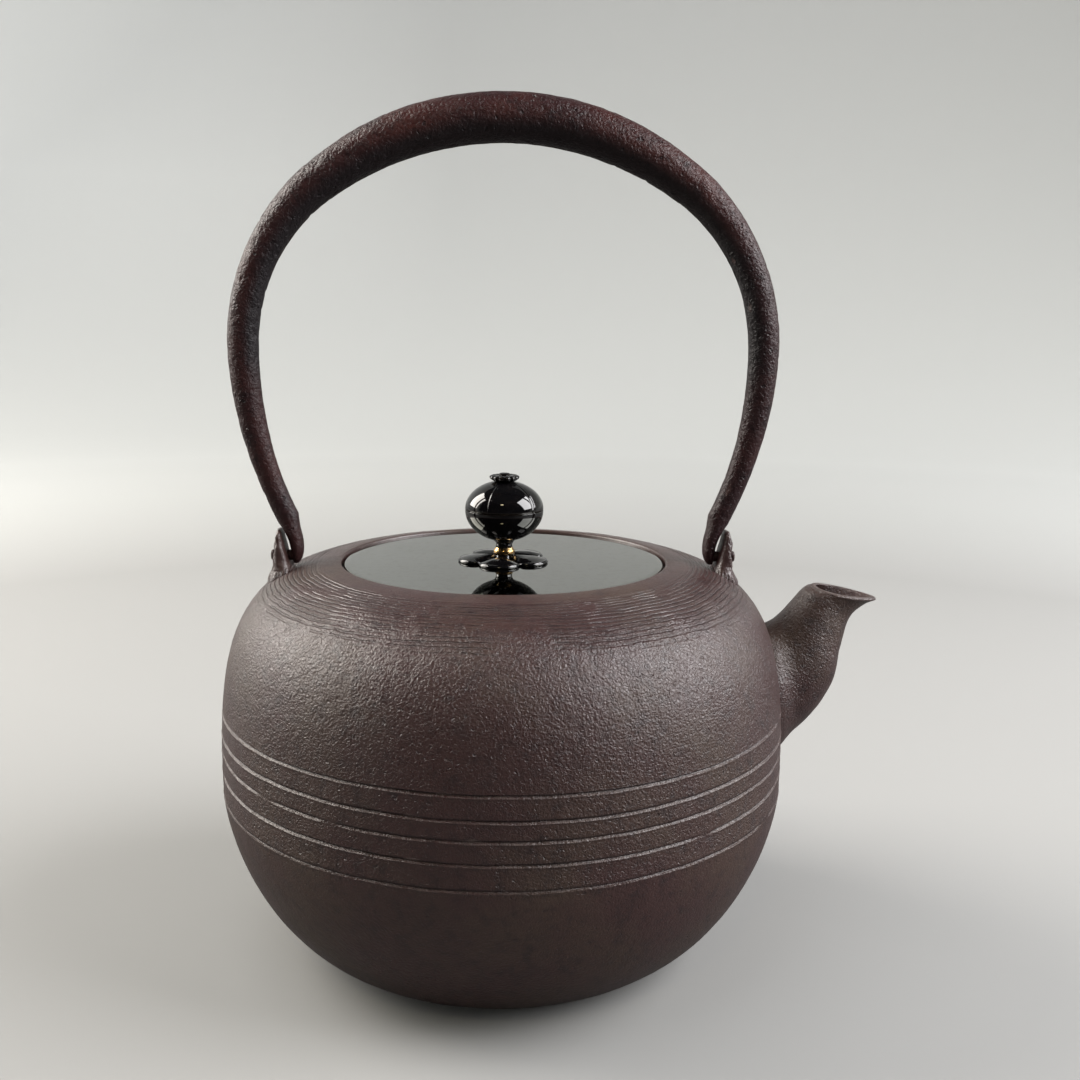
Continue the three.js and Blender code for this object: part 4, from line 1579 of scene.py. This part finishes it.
        def relief(ring: Array, height: Array, around: Array) -> tuple[Array, Array]:
            """Scallops round the edge, rays across the top and beads below the edge.

            Args:
                ring: Distance from the Z axis.
                height: Heights above the floor.
                around: Angle round the Z axis.

            Returns:
                The changed radii and heights.
            """
            wave = 0.5 - 0.5 * np.cos(self.beads * around)
            edge = ease(ring, 2.6, radius)
            below = bell(height - low - 0.45, 0.35)
            ring = ring * (1 - 0.05 * edge * wave) + 0.28 * below * (0.5 - wave)
            ray = 0.16 * np.abs(np.cos(self.beads * around / 2)) * bell(ring - 3.2, 0.8)
            return ring, height + ray * ease(height, low + 1.0, low + 1.25)

        return self.sweep("finial", corners, 0.14, Ends.JOINED, relief)

    def pin_piece(self) -> Piece:
        """Pin through the knob and lid, domed above and peened below.

        Returns:
            The pin.
        """
        low, high = self.pin[0].z, self.pin[1].z
        corners = [
            [0.05, low], [0.9, low + 0.08], [1.6, low + 0.35], [2.0, low + 0.8], [2.1, low + 1.05],
            [1.95, low + 1.1], [1.2, low + 1.1], [1.2, high - 0.6], [1.62, high - 0.58],
            [1.66, high - 0.4], [1.3, high - 0.14], [0.7, high - 0.03], [0.05, high],
        ]

        def relief(ring: Array, height: Array, around: Array) -> tuple[Array, Array]:
            """Hammered facets on the peened end."""
            dent = 0.07 * np.cos(3 * around + 1) * np.cos(5 * around) * ease(ring, 0.3, 1.6)
            return ring, height + dent * ease(low + 1 - height, 0, 0.5)

        return self.sweep("pin", corners, 0.3, Ends.CAPPED, relief)

    def build(self) -> None:
        """Makes the knob's pieces and dresses them."""
        lacquer, brass = bpy.data.materials[BLACK_LACQUER.name], WORN_BRASS.material()
        black = [
            (self.lower_piece(), "knob_lower_shell"), (self.upper_piece(), "knob_upper_shell"),
            (self.finial_piece(), "knob_finial"), (self.pin_piece(), "knob_pin"),
        ]
        for piece, node in black:
            soften(piece, 40)
            dress(piece, Body.KNOB, lacquer, node)
        collar = self.collar_piece()
        soften(collar, 40)
        dress(collar, Body.KNOB, brass, "knob_collar")


# --------------------------------------------------------------------- bail


@dataclass
class Bail:
    """Hollow forged bail: three arcs to each side, a seam inside and flat tips."""

    crown_arc: float = 82.0
    side_arc: float = 56.0
    leg_arc: float = 108.0
    reach: float = 72.0
    reach_height: float = 170.0
    leg_end: float = 122.5
    crown_radius: float = 6.5
    side_radius: float = 4.3
    leg_radius: float = 3.1
    seam_half: float = 0.5
    seam_depth: float = 2.2
    peg_root: float = 58.6
    peg_end: float = 66.2
    peg_radius: float = 1.5
    columns: int = 72
    step: float = 0.66

    def __post_init__(self) -> None:
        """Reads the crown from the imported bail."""
        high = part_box("handle_bail")[1]
        self.crown = high.z / MM - self.crown_radius
        self.grit = Grit(47)

    def centre_line(self) -> tuple[Array, Array, Array]:
        """Centre line of the right half from the crown to the leg's end.

        Returns:
            Points, outward directions and travel shares from 0 to 1.
        """
        crown_centre = np.array([0, self.crown - self.crown_arc])
        side_centre = np.array([self.reach - self.side_arc, self.reach_height])
        leg_centre = np.array([self.reach - self.leg_arc, self.reach_height])
        across, up = side_centre - crown_centre
        turn = math.atan2(up, across)
        last = -math.asin((self.reach_height - self.leg_end) / self.leg_arc)
        arcs = [
            (crown_centre, self.crown_arc, math.pi / 2, turn),
            (side_centre, self.side_arc, turn, 0.0),
            (leg_centre, self.leg_arc, 0.0, last),
        ]
        points, outward, travel, total = [], [], [], 0.0
        for centre, radius, start, end in arcs:
            length = radius * (start - end)
            angle = np.linspace(start, end, int(length / self.step) + 1)
            direction = np.stack([np.cos(angle), np.sin(angle)], axis=-1)
            keep = slice(1, None) if points else slice(None)
            points.append((centre + radius * direction)[keep])
            outward.append(direction[keep])
            travel.append((total + radius * (start - angle))[keep])
            total += length
        return np.vstack(points), np.vstack(outward), np.concatenate(travel) / total

    def half_rings(self) -> tuple[Array, Array, Array, Array, Array]:
        """Centre, outward direction, two half sizes and share of each ring.

        Returns:
            Points, directions, both half sizes and shares.
        """
        points, outward, share = self.centre_line()
        slimming = self.side_radius - self.crown_radius
        swell = self.crown_radius + slimming * ease(share, 0.08, 0.62)
        size = swell + (self.leg_radius - swell) * ease(share, 0.62, 1)
        lean = math.degrees(math.atan2(outward[-1, 1], outward[-1, 0]))
        stations = [
            # middle, height, half thickness, half width, lean
            [points[-1, 0], points[-1, 1], self.leg_radius, self.leg_radius, lean],
            [60.05, 119.5, 2.35, 3.15, 0.62 * lean],
            [59.1, 116.4, 2.05, 3.05, 0.3 * lean],
            [58.65, 113.4, 1.78, 2.85, 0.05 * lean],
            [58.8, 111.0, 1.4, 2.25, 0],
            [59.1, 109.6, 0.75, 1.3, 0],
        ]
        middle, height, thick, wide, tilt = through(stations, np.linspace(0, 1, 30)[1:]).T
        tilt = np.radians(tilt)
        points = np.vstack([points, np.stack([middle, height], axis=-1)])
        outward = np.vstack([outward, np.stack([np.cos(tilt), np.sin(tilt)], axis=-1)])
        deep = np.concatenate([size, thick])
        broad = np.concatenate([size, wide])
        return points, outward, deep, broad, np.concatenate([share, np.full(len(thick), 1.05)])

    def rod(self) -> Piece:
        """The whole bail from tip to tip.

        Returns:
            The bail without its pegs.
        """
        points, outward, deep, broad, share = self.half_rings()

        def both(values: Array, flip: bool = False) -> Array:
            """Left half mirrored in front of the right half.

            Args:
                values: One row per ring, from the crown to a tip.
                flip: Whether the first column changes sign.

            Returns:
                One row per ring, from tip to tip.
            """
            left = values[:0:-1].copy()
            if flip:
                left[:, 0] *= -1
            return np.concatenate([left, values])

        points, outward = both(points, True), both(outward, True)
        deep, broad, share = both(deep), both(broad), both(share)
        even = np.linspace(0, TAU, self.columns, endpoint=False)
        turn = even + 0.55 * np.sin(even)
        ridge = 1 + 0.035 * bell(np.angle(np.exp(1j * turn)), 0.4)
        out = deep[:, None] * np.cos(turn) * ridge
        side = broad[:, None] * np.sin(turn)
        rings = np.stack([
            points[:, :1] + outward[:, :1] * out,
            side,
            points[:, 1:] + outward[:, 1:] * out,
        ], axis=-1)
        radial = np.stack([
            outward[:, :1] * np.cos(turn),
            np.sin(turn) + 0 * out,
            outward[:, 1:] * np.cos(turn),
        ], axis=-1)
        lift = 0.05 * self.grit.layered(rings, 15, 2) + 0.07 * self.grit.layered(rings, 3.0, 2)
        pits = ease(self.grit.at(rings + 900, 2.1), 0.40, 0.65)
        lift = (lift - 0.20 * pits) * (1 - 0.65 * ease(share, 0.9, 1.05))[:, None]
        seam = 1 - ease(np.abs(side), self.seam_half - 0.15, self.seam_half + 0.15)
        inside = (np.cos(turn) < 0) * seam
        lift = lift - self.seam_depth * inside * (1 - ease(share, 0.5, 0.56))[:, None]
        rings = rings + radial * lift[..., None]
        return closed_skin("bail", rings, Ends.CAPPED)

    def underside(self, points: Array) -> Array:
        """Share by which points lie on the inner side of the bow, which takes painted shade.

        Args:
            points: Places in millimetres, with x, y and z last.

        Returns:
            0 on the outer side and 1 on the inner.
        """
        side = np.abs(points[:, 0])
        leg = np.hypot(side - (self.reach - self.side_arc), points[:, 2] - self.reach_height)
        crown = np.hypot(side, points[:, 2] - (self.crown - self.crown_arc))
        deep = np.where(side > 40, self.side_arc - leg, self.crown_arc - crown)
        return ease(deep, -1.0, 3.5) * ease(points[:, 2], 150, 175)

    def peg(self, side: int) -> Piece:
        """Round peg through the ear, burred over at its end.

        Args:
            side: +1 next to the spout and -1 opposite.

        Returns:
            The peg.
        """
        root, end, thick = self.peg_root, self.peg_end, self.peg_radius
        stations = [
            [root, thick - 0.2], [root + 0.4, thick], [end - 0.9, thick],
            [end - 0.75, thick + 0.06], [end - 0.4, thick], [end - 0.15, thick - 0.25],
            [end, thick - 0.8],
        ]
        return hinge_bar("peg", stations, side, 32, 0.03)

    def build(self) -> Piece:
        """Forges the bail and dresses it.

        Returns:
            The dressed bail.
        """
        bail = self.rod()
        for side in (-1, 1):
            carve(bail, self.peg(side), Cut.UNITE)
        soften(bail, 45)
        points = mesh_points(bail)
        high = ease(points[:, 2], 150, 225)
        count = len(points)
        paint(bail, "coarse", 0.75 + 0.25 * high)
        paint(bail, "lip", np.zeros(count))
        # Painted shade: darker towards the lower legs and on the inner side of the bow.
        paint(bail, "shade", (0.35 * (1 - high) + 0.9 * self.underside(points)).clip(0, 1))
        return dress(bail, Body.BAIL, FORGED_IRON.material(), "handle_bail")


# ------------------------------------------------------------------- studio


@dataclass(frozen=True)
class Softbox:
    """A soft light seen from the kettle in one direction."""

    name: str
    direction: tuple[float, float, float]
    distance: float
    width: float
    height: float
    power: float
    colour: Colour
    reach: Reach = Reach.ALL

    def hang(self, target: Vector) -> None:
        """Hangs the light so that it faces the target.

        Args:
            target: The point that it faces.
        """
        lamp = bpy.data.lights.new(self.name, "AREA")
        lamp.shape = "RECTANGLE"
        lamp.size, lamp.size_y = self.width, self.height
        lamp.energy, lamp.color = self.power, self.colour
        holder = bpy.data.objects.new(self.name, lamp)
        towards = Vector(self.direction).normalized()
        holder.location = target + towards * self.distance
        holder.rotation_euler = towards.to_track_quat("Z", "Y").to_euler()
        holder.visible_camera = False
        holder.visible_glossy = self.reach is Reach.ALL
        bpy.context.scene.collection.objects.link(holder)


@dataclass
class Studio:
    """Pale cove, soft lights, surroundings and camera."""

    floor_radius: float = 1.15
    cove_radius: float = 0.85
    cove_height: float = 2.4
    paper: Colour = (0.45, 0.459, 0.45)
    table: Colour = (0.212, 0.212, 0.207)
    painted_shade_high_wall: Colour = (0.40, 0.406, 0.402)
    painted_light_side: Colour = (0.86, 0.87, 0.85)
    unlit: Colour = (0.012, 0.011, 0.011)
    sky: Colour = (0.84, 0.85, 0.86)
    sky_strength: tuple[float, float] = (0.5, 0.04)
    eye: tuple[float, float, float] = (0.0, -0.33665, 0.17999)
    dip: float = 10.7
    swing: float = 1.74
    roll: float = 0.58
    lens: float = 40.0
    lights: tuple[Softbox, ...] = (
        Softbox("left_window", (-0.82, 0.26, 0.50), 1.25, 0.80, 0.95, 36.0,
                (1.0, 0.95, 0.88)),
        Softbox("right_window", (0.84, -0.11, 0.53), 1.25, 1.0, 0.95, 46.0,
                (0.98, 0.97, 0.98)),
        Softbox("ceiling_lamp", (-0.107, -0.714, 0.692), 1.5, 0.17, 0.08, 1.3,
                (1.0, 0.86, 0.52)),
        Softbox("wall_wash", (-0.35, -0.2, 1.3), 1.5, 1.0, 0.8, 10.0,
                (1.0, 1.0, 1.0), Reach.FILL),
    )

    def cove(self) -> None:
        """Floor that sweeps up into a wall all round."""
        turn = np.linspace(-math.pi / 2, 0, 14)
        bend = np.stack([self.floor_radius + self.cove_radius * np.cos(turn),
                         self.cove_radius * (1 + np.sin(turn))], axis=-1)
        inner = [[0.02, 0], [0.3, 0], [self.floor_radius * 0.7, 0]]
        wall = [[self.floor_radius + self.cove_radius, self.cove_height]]
        points = np.vstack([inner, bend, wall])
        angle = np.linspace(0, TAU, 96, endpoint=False)
        wide = np.broadcast_to(points[:, :1], (len(points), len(angle)))
        rings = rings_about_axis(wide, points[:, 1:], angle)
        rows, columns = wide.shape
        index = np.arange(rows * columns).reshape(rows, columns)
        sides = [index[:-1], np.roll(index[:-1], -1, 1), np.roll(index[1:], -1, 1), index[1:]]
        faces = np.stack(sides, axis=-1).reshape(-1, 4).tolist() + [index[0].tolist()]
        mesh = bpy.data.meshes.new("cove")
        mesh.from_pydata(rings.reshape(-1, 3).tolist(), [], faces)
        mesh.shade_smooth()
        cove = bpy.data.objects.new("cove", mesh)
        bpy.context.scene.collection.objects.link(cove)
        mesh.materials.append(self.paper_finish())

    def paper_finish(self) -> bpy.types.Material:
        """Pale paper, darker where things stand on it, with a painted pool of light low on the left
        wall and painted shade high up; reflections of the front and the floor see it painted unlit.

        Returns:
            The new material.
        """
        paper, board, shader, where = open_material("paper")
        place = board.place("ShaderNodeSeparateXYZ", {0: where}).outputs
        rise = board.span(board.from_axis(where), 0.55, 1.2)
        grade = board.times(board.noise(where, 3.0, 3.0), 0.02)
        rise = board.plus(rise, grade)
        colour = board.tint(rise, opaque(self.table), opaque(self.paper))
        # Painted shade: the wall darkens towards the top.
        fall = board.span(place["Z"], 0.05, 0.80)
        colour = board.tint(fall, colour, opaque(self.painted_shade_high_wall))
        # Painted pool of light low on the left wall.
        side = board.span(place["X"], -0.1, -1.5, 0.0, 0.8)
        side = board.times(side, board.span(place["Z"], 0.02, 0.40))
        colour = board.tint(side, colour, opaque(self.painted_light_side))
        # Painted unlit: reflections see the front and the floor dark.
        front = board.span(place["Y"], -0.10, -0.45)
        low = board.span(place["Z"], 0.0, 0.12, 0.7, 0.0)
        mirrored = board.place("ShaderNodeLightPath").outputs["Is Glossy Ray"]
        unlit_in_reflections = board.times(board.step("MAXIMUM", front, low), mirrored)
        colour = board.tint(unlit_in_reflections, colour, opaque(self.unlit))
        board.wire({"Base Color": colour}, shader.inputs)
        shader.inputs["Roughness"].default_value = 0.75
        shader.inputs["Specular IOR Level"].default_value = 0.25
        return paper

    def camera(self) -> None:
        """Camera in front, a little above the lid and tipped down."""
        dip, swing, roll = (math.radians(a) for a in (self.dip, self.swing, self.roll))
        level_part = math.cos(dip)
        ahead = Vector((math.sin(swing) * level_part, math.cos(swing) * level_part, -math.sin(dip)))
        right = Vector((math.cos(swing), -math.sin(swing), 0))
        up = right.cross(ahead)
        level = right * math.cos(roll) + up * math.sin(roll)
        upright = up * math.cos(roll) - right * math.sin(roll)
        turn = Matrix((level, upright, -ahead)).transposed().to_4x4()
        data = bpy.data.cameras.new("camera")
        data.lens, data.sensor_width = self.lens, 36.0
        data.clip_start, data.clip_end = 0.01, 20.0
        camera = bpy.data.objects.new("camera", data)
        camera.matrix_world = Matrix.Translation(self.eye) @ turn
        bpy.context.scene.collection.objects.link(camera)
        bpy.context.scene.camera = camera

    def build(self) -> None:
        """Sets up the cove, lights, surroundings and camera."""
        self.cove()
        target = Vector((0, 0, 0.1))
        for light in self.lights:
            light.hang(target)
        world = bpy.data.worlds.new("room")
        world.use_nodes = True
        board = Board(world.node_tree)
        mirrored = board.place("ShaderNodeLightPath").outputs["Is Glossy Ray"]
        sky = world.node_tree.nodes["Background"]
        sky.inputs["Color"].default_value = opaque(self.sky)
        seen, reflected = self.sky_strength
        board.wire({"Strength": board.span(mirrored, 0.0, 1.0, seen, reflected)}, sky.inputs)
        bpy.context.scene.world = world
        bpy.context.scene.view_settings.view_transform = "Standard"
        self.camera()


def report_sizes() -> None:
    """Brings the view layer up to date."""
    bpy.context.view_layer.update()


def main() -> None:
    """Builds the kettle from the pot outwards, then the studio."""
    logging.basicConfig(level=logging.INFO, format="%(name)s: %(message)s")
    Pot().build()
    Lid().build()
    Knob().build()
    Bail().build()
    Studio().build()
    report_sizes()


if __name__ == "__main__":
    main()
